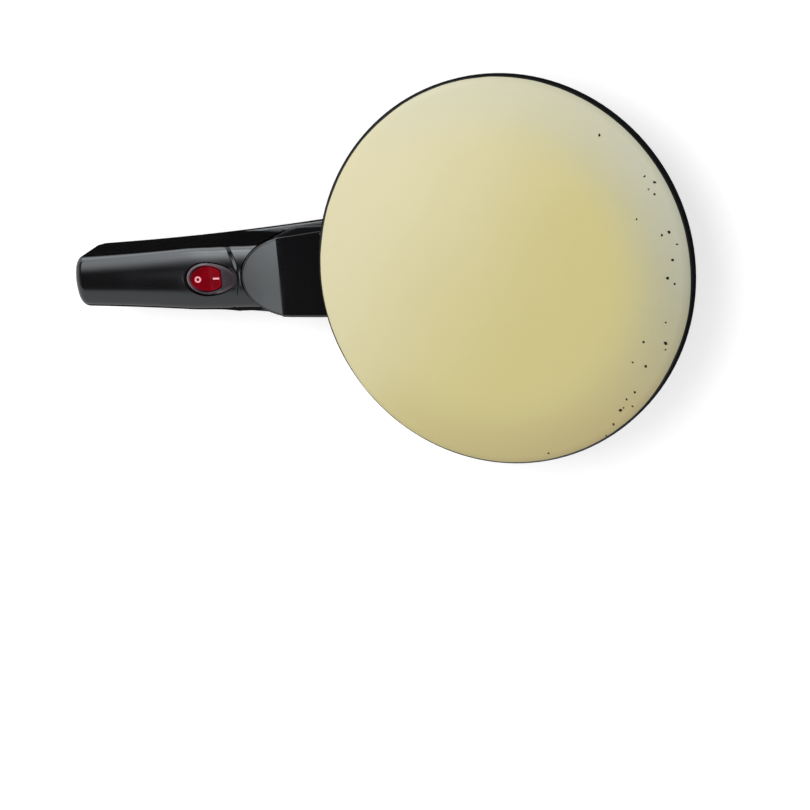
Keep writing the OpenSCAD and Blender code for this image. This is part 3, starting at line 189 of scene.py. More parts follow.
# %% Black non-stick coating
# Pebble and mica are drawn several times coarser than real, so that they show
plate_finish, tree, shader, place = start_finish("nonstick_coating", "#131414", 0.34, IOR=1.38)
pebble = add(tree, "TexNoise", {"Vector": place, "Scale": per_mm(0.9), "Detail": 2.0})
mica_flecks_and_glints = add(tree, "TexNoise", {"Vector": place, "Scale": per_mm(0.45), "Detail": 1.0})
feed(tree, shader, {
    # Flecks of mica: paler in their own colour, and brightened further as a painted glint
    "Base Color": add(tree, "ValToRGB", {"Fac": mica_flecks_and_glints}, [(0.7, "#121313"), (0.86, "#262827")]),
    "Normal": add(tree, "Bump", {"Height": pebble, "Distance": 0.03 * MM}),
})
print("coating: roughness", round(shader.inputs["Roughness"].default_value, 2))

# %% [markdown]
# ## Batter
# A thin coat of crepe batter, half set by the heat. It is pale cream with a moist sheen. The heat tints it:
# the middle is yellower, the side away from the handle turns a pale grey-green where the dark plate shows
# through the thin film, and the near side is warmer. The side towards the handle is painted paler, as a
# highlight. Steam has left fine ripples. The plate could really shine through a clear film, but that takes
# many more samples to settle. So wide soft gradients along level directions give the tints and the painted
# highlight, and a slow noise sways their borders, so that none reads as a ruled line.

# %% Batter, half set
def toward(tree, place, direction, start, end):
    """From zero to one between two distances in millimetres along a level direction."""
    run = add(tree, "VectorMath", {0: place, 1: (*direction, 0.0)}, operation="DOT_PRODUCT")
    ends = {"From Min": start * MM, "From Max": end * MM}
    return add(tree, "MapRange", {"Value": run, **ends}, interpolation_type="SMOOTHSTEP")


batter_finish, tree, shader, place = start_finish("half_set_batter", "#d3cb98", 0.42, IOR=1.38)
centred = add(tree, "Mapping", {"Vector": place, "Location": (-plate_x * MM, 0, 0)})
drift = add(tree, "TexNoise", {"Vector": place, "Scale": per_mm(55), "Detail": 3.0}).outputs["Color"]
sway = add(tree, "VectorMath", {0: drift, 1: (-0.5, -0.5, -0.5)}, operation="ADD")
sway = add(tree, "VectorMath", {0: sway, "Scale": 26 * MM}, operation="SCALE")  # 13 mm either way
flow = add(tree, "VectorMath", {0: centred, 1: sway}, operation="ADD")
flat = add(tree, "VectorMath", {0: centred, 1: (1.0, 1.0, 0.0)}, operation="MULTIPLY")
radius = add(tree, "VectorMath", {0: flat}, operation="LENGTH")
# The tints of the thin and the cool side lie in the outer part only
outer = add(tree, "MapRange", {"Value": radius, "From Min": 58 * MM, "From Max": 99 * MM},
            interpolation_type="SMOOTHSTEP")
# Yellow where the heat tints it, and painted paler towards the handle and one side, as a highlight
body = add(tree, "Mix", {"Factor": toward(tree, flow, (-0.8, 0.6), -35, 95),
                         "A": linear("#cbc185"), "B": linear("#dad2ab")}, data_type="RGBA")
thin = add(tree, "Mix", {"Factor": toward(tree, flow, (0.3, 0.95), -70, 40),
                         "A": linear("#b8aa78"), "B": linear("#aeae98")}, data_type="RGBA")
away = toward(tree, flow, (0.85, -0.53), -60, 80)
thin_side = add(tree, "Math", {0: outer, 1: away}, operation="MULTIPLY")
surface = add(tree, "Mix", {"Factor": thin_side, "A": body, "B": thin}, data_type="RGBA")
across = toward(tree, flow, (0.45, 0.89), 10, 90)
cool_side = add(tree, "Math", {0: outer, 1: across}, operation="MULTIPLY")
cool_share = add(tree, "Math", {0: cool_side, 1: 0.6}, operation="MULTIPLY")
ripples = add(tree, "TexNoise", {"Vector": place, "Scale": per_mm(9), "Detail": 4.0})
moisture = add(tree, "TexNoise", {"Vector": place, "Scale": per_mm(5), "Detail": 4.0})
feed(tree, shader, {
    "Base Color": add(tree, "Mix", {"Factor": cool_share, "A": surface, "B": linear("#c9c9b6")},
                      data_type="RGBA"),
    "Roughness": add(tree, "ValToRGB", {"Fac": moisture}, [(0.3, 0.38), (0.7, 0.52)]),
    "Normal": add(tree, "Bump", {"Height": ripples, "Distance": 0.1 * MM, "Strength": 0.5}),
})
print("batter: nodes", len(tree.nodes))

# %% [markdown]
# ## Switch finishes
# The bezel is moulded nylon, a satin grey-black. Its colour is painted paler towards the handle's end and
# one side, as a highlight, and dark plum towards the plate, as shade tinted by the rocker's red glow. The
# rocker is clear red polycarbonate with a neon lamp below it: saturated red, with a little light from inside
# and a face that is only weakly glossy. It could be built as clear plastic over a lamp. An opaque red that
# glows a little looks the same from outside and renders clean. Its marks are printed in a pale pink.

# %% Satin nylon
bezel_finish, tree, shader, place = start_finish("satin_nylon", "#40353d", 0.3, IOR=1.53)
# Painted light: paler towards the handle's end and one side as a highlight, dark plum towards the plate as
# shade tinted by the rocker's red glow
lit_side = (-0.6, 0.8)
middle = lit_side[0] * switch_x
painted_lit_side = toward(tree, place, lit_side, middle - 5, middle + 8)
# The mould's grain is drawn coarser than real, so that it shows
grain = add(tree, "TexNoise", {"Vector": place, "Scale": per_mm(0.5), "Detail": 2.0})
feed(tree, shader, {
    "Base Color": add(tree, "Mix", {"Factor": painted_lit_side, "A": linear("#2b1f27"), "B": linear("#786a71")},
                      data_type="RGBA"),
    "Normal": add(tree, "Bump", {"Height": grain, "Distance": 0.01 * MM}),
})
print("nylon: nodes", len(tree.nodes))

# %% Red polycarbonate
rocker_finish, tree, shader, place = start_finish("red_polycarbonate", "#6c000b", 0.22, IOR=1.585,
                                                  Specular_IOR_Level=0.04, Emission_Strength=0.1)
depth = add(tree, "TexNoise", {"Vector": place, "Scale": per_mm(9), "Detail": 2.0})
red = add(tree, "ValToRGB", {"Fac": depth}, [(0.3, "#68000a"), (0.7, "#7c0110")])
grain = add(tree, "TexNoise", {"Vector": place, "Scale": per_mm(1.2), "Detail": 2.0})
feed(tree, shader, {"Base Color": red, "Emission Color": red,
                    "Normal": add(tree, "Bump", {"Height": grain, "Distance": 0.01 * MM})})
print("polycarbonate: nodes", len(tree.nodes))

# %% Printed marks
# Ink on the plastic: matt, and a little uneven from the pad that printed it
marks_finish, tree, shader, place = start_finish("printed_marks", "#f6a4ac", 0.5)
ink = add(tree, "TexNoise", {"Vector": place, "Scale": per_mm(0.4), "Detail": 3.0})
pinks = add(tree, "ValToRGB", {"Fac": ink}, [(0.3, "#f09aa2"), (0.6, "#faaeb6")])
feed(tree, shader, {"Base Color": pinks})
print("marks: nodes", len(tree.nodes))

# %% [markdown]
# ## Finishes of the inner works
# Under the plate are plain engineering finishes, each with the name of its stuff. They share two recipes. A
# moulded or pressed one mottles its colour and has a little relief: rubber and fibre board look dull and
# uneven, porcelain and glass smooth. A metal one has brushed or rolled streaks and stained patches, which is
# what tells plated steel from rolled sheet. Marks and grain are drawn coarser than real, so that they show.

# %% Moulded and metal recipes
def moulded(name, dark, light, roughness, grain, relief, **sockets):
    """Grain is the size of the mottles and relief their height, in millimetres."""
    finish, tree, shader, place = start_finish(name, dark, roughness, **sockets)
    mottle = add(tree, "TexNoise", {"Vector": place, "Scale": per_mm(grain), "Detail": 3.0})
    skin = add(tree, "TexNoise", {"Vector": place, "Scale": per_mm(grain / 3), "Detail": 4.0})
    feed(tree, shader, {
        "Base Color": add(tree, "ValToRGB", {"Fac": mottle}, [(0.35, dark), (0.65, light)]),
        "Normal": add(tree, "Bump", {"Height": skin, "Distance": relief * MM}),
    })
    return finish


def metal(name, dark, light, roughness, streak, relief=0.01):
    """Streak is how many times longer than wide the marks of the roller or wheel are, along X."""
    finish, tree, shader, place = start_finish(name, light, roughness, Metallic=1.0)
    drawn = add(tree, "Mapping", {"Vector": place, "Scale": (1 / streak, 1, 1)})
    marks = add(tree, "TexNoise", {"Vector": drawn, "Scale": per_mm(0.8), "Detail": 4.0})
    stains = add(tree, "TexNoise", {"Vector": place, "Scale": per_mm(7), "Detail": 3.0})
    polish = [(0.2, roughness * 0.75), (0.8, roughness * 1.3)]
    feed(tree, shader, {
        "Base Color": add(tree, "ValToRGB", {"Fac": stains}, [(0.3, dark), (0.7, light)]),
        "Roughness": add(tree, "ValToRGB", {"Fac": marks}, polish),
        "Normal": add(tree, "Bump", {"Height": marks, "Distance": relief * MM}),
    })
    return finish


# %% Give every slot its finish
finishes = {
    "plate": plate_finish, "batter": batter_finish, "shell": shell_finish, "bezel": bezel_finish,
    "rocker": rocker_finish, "marks": marks_finish,
    # Moulded rubber of the feet and the gland: dull and soft, greyer in patches
    "rubber": moulded("black_rubber", "#1c1c1d", "#2b2b2c", 0.75, 4, 0.03),
    # Moulded silicone of the rim seal: smooth, a cool dark grey
    "seal": moulded("silicone_seal", "#3a3b3e", "#45474a", 0.6, 6, 0.02),
    # Bright zinc plate on screws and plunger: cold, even, with short scratches
    "zinc_steel": metal("zinc_plated_steel", "#a9abae", "#d6d8da", 0.3, 2),
    # Rolled steel of clamps and brackets: a duller grey with long marks of the roller
    "sheet_steel": metal("rolled_steel_sheet", "#9c9ea1", "#c3c5c8", 0.35, 14),
    # The drawn steel tube of the heater: browned by its own heat
    "element_steel": metal("heat_tinted_steel", "#5b4c44", "#8d8781", 0.42, 3, 0.02),
    # Rolled aluminium of the heat shield: the palest metal, with the longest marks
    "aluminium_sheet": metal("rolled_aluminium_sheet", "#b4b6b8", "#d9dadb", 0.3, 18),
    # Stamped brass of contacts and terminals: warm yellow, tarnished brown in places
    "brass": metal("stamped_brass", "#b48c3c", "#d9b45e", 0.3, 5),
    # Glazed porcelain of the heater's ends: creamy, under a wet gloss
    "porcelain": moulded("glazed_porcelain", "#e2dccd", "#ece8dc", 0.15, 8, 0.01, Coat_Weight=0.6),
    # Pressed mineral fibre: chalky, rough and without any shine
    "fibre_board": moulded("mineral_fibre_board", "#c2b9a4", "#ddd6c6", 0.9, 3, 0.15),
    # Brown phenolic of thermostat and cord clamp: dark and faintly mottled by its filler
    "bakelite": moulded("brown_phenolic", "#2a1f1a", "#3d2f27", 0.4, 3, 0.02, IOR=1.62),
    # Woven glass sleeve over the fuse: off-white, matt and finely uneven, like cloth
    "sleeve": moulded("glass_fibre_sleeve", "#ddd3b8", "#f1ead6", 0.8, 0.8, 0.08),
    # Moulded nylon of the terminal block: milky, with a satin skin
    "nylon_white": moulded("white_nylon", "#dbd8cd", "#e8e6de", 0.4, 6, 0.01, IOR=1.53),
    # Extruded silicone of the wires: even in colour, with a soft sheen
    "wire_brown": moulded("brown_silicone", "#6a3a1c", "#7d4826", 0.55, 5, 0.01),
    "wire_blue": moulded("blue_silicone", "#25559b", "#2f66b4", 0.55, 5, 0.01),
    "wire_earth": moulded("green_silicone", "#4f8f33", "#63a541", 0.55, 5, 0.01),
    # Blown glass of the neon lamp: clear, tinted by the gas
    "lamp_glass": moulded("neon_lamp_glass", "#f08a55", "#f8a878", 0.05, 4, 0.005,
                          Transmission_Weight=0.7, IOR=1.47),
}
for node in nodes.values():
    slot_name = node.material_slots[0].material.name.split(".")[0]
    node.material_slots[0].material = finishes[slot_name]
print("finishes:", len(finishes), "nodes dressed:", len(nodes))

# %% [markdown]
# ## Tools for pieces
# A piece is built in millimetres, in its place. `finish_piece` turns it to metres, marks its crisp edges by
# their angle so that the rest shades smoothly, gives it its finish and lets it ride on its body. `carve`
# cuts one closed shape out of another, or joins them, with Blender's Boolean. The modifier could stay live,
# but the next step has to find the new edges, so its result is kept as plain mesh.

# %% Make an object, and carve it
def to_object(name, bm):
    """Puts a finished bmesh into the scene as an object."""
    mesh = bpy.data.meshes.new(name)
    bm.to_mesh(mesh)
    bm.free()
    piece = bpy.data.objects.new(name, mesh)
    bpy.context.scene.collection.objects.link(piece)
    return piece


def carve(piece, tool, operation="DIFFERENCE"):
    """Takes the tool out of the piece, or joins or intersects them, and deletes the tool."""
    cut = piece.modifiers.new("carve", "BOOLEAN")
    cut.operation = operation
    cut.solver = "EXACT"
    cut.object = tool
    bpy.context.view_layer.update()
    shaped = bpy.data.meshes.new_from_object(piece.evaluated_get(bpy.context.evaluated_depsgraph_get()))
    piece.modifiers.clear()
    old = piece.data
    piece.data = shaped
    bpy.data.meshes.remove(old)
    bpy.data.objects.remove(tool)


# %% Finish a piece
CRISP = math.radians(32)
MERGE = 0.001


def finish_piece(piece, body, slot, replaced, crisp=CRISP):
    """Turns a piece to metres, shades it, and tells the frame what it rides on and replaces."""
    bm = bmesh.new()
    bm.from_mesh(piece.data)
    bmesh.ops.remove_doubles(bm, verts=bm.verts, dist=MERGE)
    bmesh.ops.dissolve_degenerate(bm, edges=bm.edges, dist=MERGE)
    bmesh.ops.scale(bm, vec=(MM, MM, MM), verts=bm.verts)
    for face in bm.faces:
        face.smooth = True
    for edge in bm.edges:
        edge.smooth = edge.is_manifold and edge.calc_face_angle(0) < crisp
    open_edges = sum(not edge.is_manifold for edge in bm.edges)
    bm.to_mesh(piece.data)
    bm.free()
    piece.data.materials.clear()
    piece.data.materials.append(finishes[slot])
    flats = piece.modifiers.new("flat_faces_stay_flat", "WEIGHTED_NORMAL")
    flats.keep_sharp = True
    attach(piece, body)
    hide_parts(replaced)
    print(piece.name, "faces:", len(piece.data.polygons), "open edges:", open_edges)


# %% [markdown]
# ## Lofts
# Mouldings such as the handle are drawn as a row of sections. A curve could carry one section along, but
# here the section changes all the way. So each section becomes a ring of vertices, the bridge operator skins
# neighbouring rings, and the ends are closed with one face each.

# %% Skin a row of rings
def loft(name, rings):
    """Skins a row of rings and closes both ends."""
    bm = bmesh.new()
    loops = []
    for points in rings:
        verts = [bm.verts.new(point) for point in points]
        loops.append([bm.edges.new(pair) for pair in zip(verts, verts[1:] + verts[:1])])
    for near, far in zip(loops, loops[1:]):
        bmesh.ops.bridge_loops(bm, edges=near + far)
    for loop in (loops[0], loops[-1]):
        bmesh.ops.contextual_create(bm, geom=loop)
    bmesh.ops.recalc_face_normals(bm, faces=bm.faces)
    return to_object(name, bm)


def ellipse(a, b, count):
    """Points of an oval with half axes a and b."""
    turns = [2 * math.pi * k / count for k in range(count)]
    return [(a * math.cos(t), b * math.sin(t)) for t in turns]


def steps(start, end, count):
    """Evenly spaced values from start to end, both included."""
    return [start + (end - start) * k / count for k in range(count + 1)]


print("a quarter turn in three steps:", steps(0, 90, 3))

# %% [markdown]
# ## The batter film
# The real film is a liquid skin that follows the dome and wraps a little over its rounded edge. It could be
# a copy of the dome thickened by a modifier, but then its edge would be as thick as its middle. So a thin
# crescent profile is spun round the plate's axis.

# %% The dome's line
# The plate's dome and the rounding of its edge
dome_r = 590.0
edge_r = 6.0
edge_z = 48.4
edge_in = plate_r - edge_r
dome_centre = edge_z - math.sqrt((dome_r - edge_r) ** 2 - edge_in ** 2)
dome_tilt = math.asin(edge_in / (dome_r - edge_r))
# The film: its height above the plate, its thickness in the middle and at its edge, and the angle at
# which it ends on the rounding, a little sooner on its upper side
coat_gap, coat_t, coat_edge_t = 0.1, 0.8, 0.45
coat_wrap, coat_lip, lip_bulge = 37.0, 2, 0.08


def dome_line(gap, low_angle):
    """Points from the axis to the film's edge, gap above the plate."""
    crown = [((dome_r + gap) * math.sin(a), dome_centre + (dome_r + gap) * math.cos(a))
             for a in steps(0, dome_tilt, 26)]
    turns = [math.radians(a) for a in steps(90 - math.degrees(dome_tilt), low_angle, 8)]
    edge = [(edge_in + (edge_r + gap) * math.cos(a), edge_z + (edge_r + gap) * math.sin(a)) for a in turns]
    return crown + edge[1:]


print("dome tilts to", round(math.degrees(dome_tilt), 2), "degrees, centre at z", round(dome_centre, 1))

# %% Taper the film and spin it
def tapered(profile):
    """Thins the coat over the rounded edge, from its full thickness to that of its end."""
    thinner = []
    for r, z in profile:
        if r > edge_in:
            around = math.hypot(r - edge_in, z - edge_z)
            share = min(1, (r - edge_in) / (profile[-1][0] - edge_in))
            radius = around - (coat_t - coat_edge_t) * share
            r, z = edge_in + (r - edge_in) * radius / around, edge_z + (z - edge_z) * radius / around
        thinner.append((r, z))
    return thinner


film_top = tapered(dome_line(coat_gap + coat_t, coat_wrap + coat_lip))
film_low = dome_line(coat_gap, coat_wrap)
rounded_edge = [(film_top[-1][0] * (1 - t) + film_low[-1][0] * t + lip_bulge * math.sin(math.pi * t),
                 film_top[-1][1] * (1 - t) + film_low[-1][1] * t) for t in (0.25, 0.5, 0.75)]
bm = bmesh.new()
verts = [bm.verts.new((plate_x + r, 0, z)) for r, z in film_top + rounded_edge + film_low[::-1]]
edges = [bm.edges.new(pair) for pair in zip(verts, verts[1:])]
bmesh.ops.spin(bm, geom=verts + edges, cent=(plate_x, 0, 0), axis=(0, 0, 1), angle=2 * math.pi, steps=288,
               use_merge=True)
bmesh.ops.remove_doubles(bm, verts=bm.verts, dist=0.0005)
bmesh.ops.recalc_face_normals(bm, faces=bm.faces)
film = to_object("batter_film", bm)
print("film points:", len(film.data.vertices))

# %% [markdown]
# A dipped edge is never a perfect circle. The film's points on the plate's rounding are moved along it by a
# slow noise, furthest down on the near side and least where the tool left the batter first.

# %% Let the film's edge wander
edge_start = math.pi / 2 - dome_tilt
# How far the film goes down the rounding, as shares of its full wrap, and the directions of most and least
usual_share, near_more, short_less = 0.81, 0.2, 0.28
near_side, short_side = math.radians(28), math.radians(150)
slow, slow_sway, quick, quick_sway = 3.1, 0.09, 12, 0.04
for vert in film.data.vertices:
    spoke = Vector((vert.co.x - plate_x, vert.co.y, 0))
    out, rise = spoke.length - edge_in, vert.co.z - edge_z
    angle = math.atan2(rise, out)
    if out > 0 and angle < edge_start:
        heading = spoke.normalized()
        sway = noise.noise(heading * slow + Vector((7.3, 0, 0))) * slow_sway
        sway = sway + noise.noise(heading * quick) * quick_sway
        turn = math.atan2(spoke.y, spoke.x)
        share = usual_share + near_more * math.cos(turn - near_side)
        share = share - short_less * max(0, math.cos(turn - short_side)) ** 3 + sway
        angle = edge_start + (angle - edge_start) * min(share, 1.0)
        radius = math.hypot(out, rise)
        vert.co = Vector((plate_x, 0, edge_z)) + heading * (edge_in + radius * math.cos(angle))
        vert.co.z += radius * math.sin(angle)
print("film edge reaches down to z", round(min(vert.co.z for vert in film.data.vertices), 2))

# %% [markdown]
# The pinholes are where steam came through, right down to the dark plate. They could be dark dots in the
# finish, but real holes have a depth and a lit rim. Each is a small cone with a slightly irregular outline,
# cut through the film with the Boolean.

# %% Find a place on the dome
FRAME = 810


def on_dome(px, py):
    """Where the line of sight through a point of the square frame meets the dome, from the dome's centre."""
    across = (px - FRAME / 2) / FRAME * lens.sensor_width / lens.lens
    up = (FRAME / 2 - py) / FRAME * lens.sensor_width / lens.lens
    ray = (camera.rotation_euler.to_matrix() @ Vector((across, up, -1))).normalized()
    eye = camera_place / MM - Vector((plate_x, 0, dome_centre))
    half = eye.dot(ray)
    return eye + ray * (-half - math.sqrt(half ** 2 - eye.length_squared + dome_r ** 2))


print("middle of the frame, on the dome:", [round(v, 1) for v in on_dome(FRAME / 2, FRAME / 2)])

# %% Cut the pinholes
# Place in the frame, and width of the hole in millimetres
pinholes = [
    (600, 135, 1.0), (645, 176, 0.8), (655, 182, 1.1), (649, 189, 0.7), (655, 194, 0.8), (637, 219, 0.7),
    (662, 235, 0.9), (669.5, 232, 1.2), (677.5, 244, 0.8), (673, 260, 1.0), (668, 278, 1.2), (675, 284, 0.8),
    (666, 322, 0.8), (644, 342, 1.0), (666, 343, 1.3), (666, 349.5, 0.8), (633, 362, 0.8), (646, 366, 1.2),
    (635, 392, 0.9), (627, 399, 0.8), (621, 410, 1.3), (624, 407.5, 0.7), (633, 406, 0.8), (614, 424, 1.0),
    (606, 436, 0.8), (549, 453, 0.8),
]
# A hole widens from its foot to its mouth, and its outline is pushed in and out by noise
foot_share, mouth_share, hole_depth = 0.5, 0.78, 6
ragged, lobes, next_hole = 0.9, 2.2, 3.7
holes = bmesh.new()
for number, (px, py, width) in enumerate(pinholes):
    place = Vector((plate_x, 0, dome_centre)) + on_dome(px, py)
    hole = bmesh.ops.create_cone(holes, cap_ends=True, segments=14, radius1=width * foot_share,
                                 radius2=width * mouth_share, depth=hole_depth,
                                 matrix=Matrix.Translation(place))["verts"]
    for vert in hole:
        out = Vector((vert.co.x - place.x, vert.co.y - place.y, 0))
        vert.co += out * noise.noise(out * lobes + Vector((0, 0, number * next_hole))) * ragged
carve(film, to_object("pinhole_tool", holes))
finish_piece(film, "crepe", "batter", "batter_coat", crisp=math.radians(50))
print("pinholes:", len(pinholes))

# %% [markdown]
# ## The handle's sections
# The handle is two mouldings that meet halfway up. It widens from its end towards the plate, and the upper
# shell stands back from the lower one by a small ledge there. A section is half a dozen measures at a reach:
# how wide, how high, how much crown, how round the upper edges. The handle could be pulled out of a box and
# smoothed by subdivision, but measures as small functions of the reach hold a mould's lines exactly.

# %% The handle's sizes
# The handle from above: its widths, how straight and how curved it widens, and its rounded end
neck_reach, end_r = 102.0, 6.0
end_w, neck_w, straight, curved = 34.4, 54.8, 0.42, 0.58
# The ledge beside the upper shell, and the shoulder that draws its face in round the pad's front
ledge_w, ledge_end, ledge_run = 2.5, 156.0, 40
shoulder_w, shoulder_start, shoulder_grow, shoulder_end, shoulder_fade = 1.8, 122, 21, 184, 32
# The section: lean of the sides, crown, rounded edges, drop at the end, walls
draft, crown_drop, round_r, end_drop = 0.165, 2.5, 3.5, 0.6
shell_wall, cover_t, mould_gap = 2.2, 1.8, 0.15
# The neck cover with its two slopes, and the grip pad with its bowed front
cover_z, pad_rise = pad_z, 1.0
face_z = pad_z - pad_rise
slope_low_z, slope_mid_z = 39.7, 44.0
slope_end, slope_mid, slope_start = 102.0, 115.0, 123.0
cover_reach, cover_l, cover_half_w = 148.2, 31.0, 24.0
pad_reach, pad_slope, pad_bow, bow_run = 151.2, 1.7, 10.5, 16.0
print("the grip is", round(handle_end - pad_reach, 1), "mm long")

# %% Measures at a reach
def held(t):
    """A share held between zero and one."""
    return min(1, max(0, t))


def eased(t):
    """A share that starts and ends softly."""
    return t * t * (3 - 2 * t)


def half_w(s):
    """Half the handle's width at a reach."""
    u = (handle_end - s) / (handle_end - neck_reach)
    return (end_w + (neck_w - end_w) * (straight * u + curved * u * u)) / 2


def ledge(s):
    """How far the upper shell stands back from the lower one."""
    return ledge_w * (1 - (1 - held((ledge_end - s) / ledge_run)) ** 2)


def end_inset(s):
    """How far the rounded end draws the sides in."""
    t = min(end_r, max(0, s - (handle_end - end_r)))
    return end_r - math.sqrt(end_r ** 2 - t * t)


def cover_top(s):
    """Height of the neck cover, which slopes down to the plate in two steps."""
    if s >= slope_start:
        return cover_z
    if s >= slope_mid:
        return cover_z - (cover_z - slope_mid_z) * (slope_start - s) / (slope_start - slope_mid)
    return slope_mid_z - (slope_mid_z - slope_low_z) * (slope_mid - s) / (slope_mid - slope_end)


def shoulder(s):
    """How far the upper face draws in round the grip pad's front, where the side wall leans more."""
    if s > pad_reach:
        return shoulder_w * eased(held((shoulder_end - s) / shoulder_fade))
    return shoulder_w * eased(held((s - shoulder_start) / shoulder_grow))


def bow(s):
    """How far the middle of a section lies ahead of its sides, at the pad's front."""
    return pad_bow * max(0, 1 - abs(s - pad_reach) / bow_run)


print("half width at the neck and the end:", [round(half_w(s), 2) for s in (neck_reach, handle_end)])

# %% A section of the upper shell
def bend(a, b, c, count):
    """Points of a rounded corner from a to c, drawn towards b."""
    a, b, c = Vector(a), Vector(b), Vector(c)
    return [tuple((1 - t) ** 2 * a + 2 * t * (1 - t) * b + t * t * c) for t in steps(0, 1, count)]


def upper_ring(s, top, inset=0.0, low=split_z, swept=True):
    """The upper shell's section at a reach, its face at height top, moved in by inset."""
    e = end_inset(s + (inset if s > handle_end - end_r - inset else 0))
    foot_w = half_w(s) - ledge(s) - inset - e
    crest = top - inset - e * end_drop
    corner_z = crest - crown_drop
    face_w = foot_w - draft * (corner_z - split_z) - shoulder(s)
    lean = (foot_w - face_w) / (corner_z - split_z)
    side = [(foot_w - lean * (low - split_z), low), (foot_w - 2 * lean, split_z + 2)]
    side += bend((face_w + lean * round_r, corner_z - round_r), (face_w, corner_z),
                 (face_w - round_r, crest - crown_drop * (1 - round_r / face_w) ** 2), 9)
    side += [(y, crest - crown_drop * (y / face_w) ** 2) for y in steps(face_w - round_r, 0, 12)[1:]]
    outline = side + [(-y, z) for y, z in side[-2::-1]]
    sweep = bow(s) if swept else 0
    return [(plate_x - s - sweep * (y / outline[0][0]) ** 2, y, z) for y, z in outline]


print("points of a section:", len(upper_ring(pad_reach, pad_z)))

# %% [markdown]
# ## The upper shell
# Its raised grip pad begins at a bowed front, where the face steps up by a millimetre. The step could be a
# second piece laid on top, but the real one is one moulding, so the sections stand closer there and rise.

# %% Skin the upper shell
def end_turn(inset, turn_step):
    """Reaches round the handle's end, closer together towards its face."""
    return [handle_end - end_r - inset + end_r * math.sin(math.radians(a)) for a in range(0, 91, turn_step)]


def face_top(s):
    """Height of the upper face ahead of the grip pad."""
    return cover_top(s) - pad_rise if s < slope_start else face_z


def shell_rings(inset, start):
    """Sections from start to the pad's foot, up its front and on to the rounded end."""
    foot = pad_reach - pad_slope
    rings = [upper_ring(s, face_top(s), inset) for s in steps(start, foot - 0.3, 14) + [foot]]
    for t in steps(0, 1, 8)[1:]:
        rings.append(upper_ring(pad_reach - pad_slope * (1 - t), face_z + pad_rise * eased(t), inset))
    end = end_turn(inset, 10)
    grip = [pad_reach + 1.0 + grip_run * t for t in steps(0, 1, 30)][:-1]
    return rings + [upper_ring(s, pad_z, inset) for s in [s for s in grip if s < end[0] - 0.5] + end]


grip_run, spigot_reach = 95.5, 112.0  # the spigot reaches in under the neck cover
shell = loft("handle_top_shell", shell_rings(0, spigot_reach))
print("upper shell points:", len(shell.data.vertices))

# %% [markdown]
# A moulding has an even, thin wall. A Solidify modifier could give it one, but it folds over itself in tight
# corners. So the inside is skinned from the same sections, moved in by the wall. A thick floor round the
# switch and the posts of the screws are cut out of that inside, and the rest of it is cut out of the shell.

# %% Hollow the upper shell
# Under the neck cover's tongue it lies deeper, and it rises to the pad's depth between these two reaches
deep, rise_from, rise_to = shell_wall + cover_t, pad_reach - 3.5, pad_reach + 2.5
hollow_front = steps(spigot_reach - 1, rise_from, 10)
hollow_rings = [upper_ring(s, face_top(s), deep, split_z - 1, False) for s in hollow_front]
hollow_grip = steps(rise_to, handle_end - end_r - shell_wall - 1, 24) + end_turn(shell_wall, 15)
hollow_rings += [upper_ring(s, face_z, shell_wall, split_z - 1, False) for s in hollow_grip]
hollow = loft("hollow", hollow_rings)


def upright(name, a, b, low, high, x, y=0.0, count=96):
    """An oval bar between two heights."""
    return loft(name, [[(x + p, y + q, z) for p, q in ellipse(a, b, count)] for z in (low, high)])


# The oval housing of the switch, and the floor of its recess, which is thick for so much round the oval
housing_a, housing_b = 11.7, 8.0
floor_z, floor_t, more_l, more_w = bezel_high.z - 1.2, 2.4, 10, 5
thick = bmesh.new()
bmesh.ops.create_cube(thick, size=1, matrix=Matrix.LocRotScale(
    Vector((switch_x + 1, 0, (floor_z - floor_t + pad_z + 1) / 2)), None,
    Vector((2 * housing_a + more_l, 2 * housing_b + more_w, pad_z + 1 - floor_z + floor_t))))
carve(hollow, to_object("thick_floor", thick))
post_r, post_y, screw_r, screw_depth = 3.5, 11.5, 1.8, 13
screw_places = [(plate_x - s, side * post_y) for s in (192, 228) for side in (-1, 1)]
for x, y in screw_places:
    carve(hollow, upright("post", post_r, post_r, split_z + 0.02, pad_z + 2, x, y, 32))
carve(shell, hollow)
for x, y in screw_places:
    carve(shell, upright("screw_bore", screw_r, screw_r, 0, split_z + screw_depth, x, y, 24))
print("hollowed:", len(shell.data.polygons), "faces")

# %% [markdown]
# The neck cover's tongue lies in a groove a little wider than itself. The switch sits in an oval recess that
# flares upwards and runs out towards the plate, so that a thumb finds the rocker. Its rim is rolled over, as
# a polished mould edge is. A bevel after the cut could roll it, but on a curved face such a bevel gets
# uneven, so the rolled rim is part of the tool that cuts.

# %% Cut the tongue's groove
def tongue_outline(gap, start):
    """Outline of the neck cover from above, as reach and width, moved out by gap."""
    middle = cover_reach - cover_l
    side = [(start, half_w(start) - ledge(start) + gap)]
    for s in (slope_end, (slope_end + middle) / 2):
        side.append((s, max(cover_half_w, half_w(s) - ledge(s)) + gap))
    turns = [math.radians(a) for a in range(90, 0, -3)]
    side += [(middle + (cover_l + gap) * math.cos(t), (cover_half_w + gap) * math.sin(t)) for t in turns]
    return side + [(cover_reach + gap, 0)] + [(s, -w) for s, w in side[::-1]]


def leaned(z):
    """How much narrower the neck cover is at a height, as its sides lean in for the mould."""
    return 1 - cover_lean * max(0, z - split_z) / (cover_z - split_z)


groove_gap, cover_lean = 0.7, 0.085
tongue = tongue_outline(groove_gap, spigot_reach - 10)
groove = loft("groove", [[(plate_x - s, w * leaned(z), z) for s, w in tongue]
                         for z in (split_z - 1, split_z, pad_z + 2)])
carve(groove, loft("groove_floor", shell_rings(cover_t, spigot_reach - 5)))
carve(shell, groove)
print("grooved:", len(shell.data.polygons), "faces")

# %% Cut the recess of the switch
recess_gap, recess_lead = 0.9, 6.6
recess_a, recess_b = housing_a + recess_gap, housing_b + recess_gap
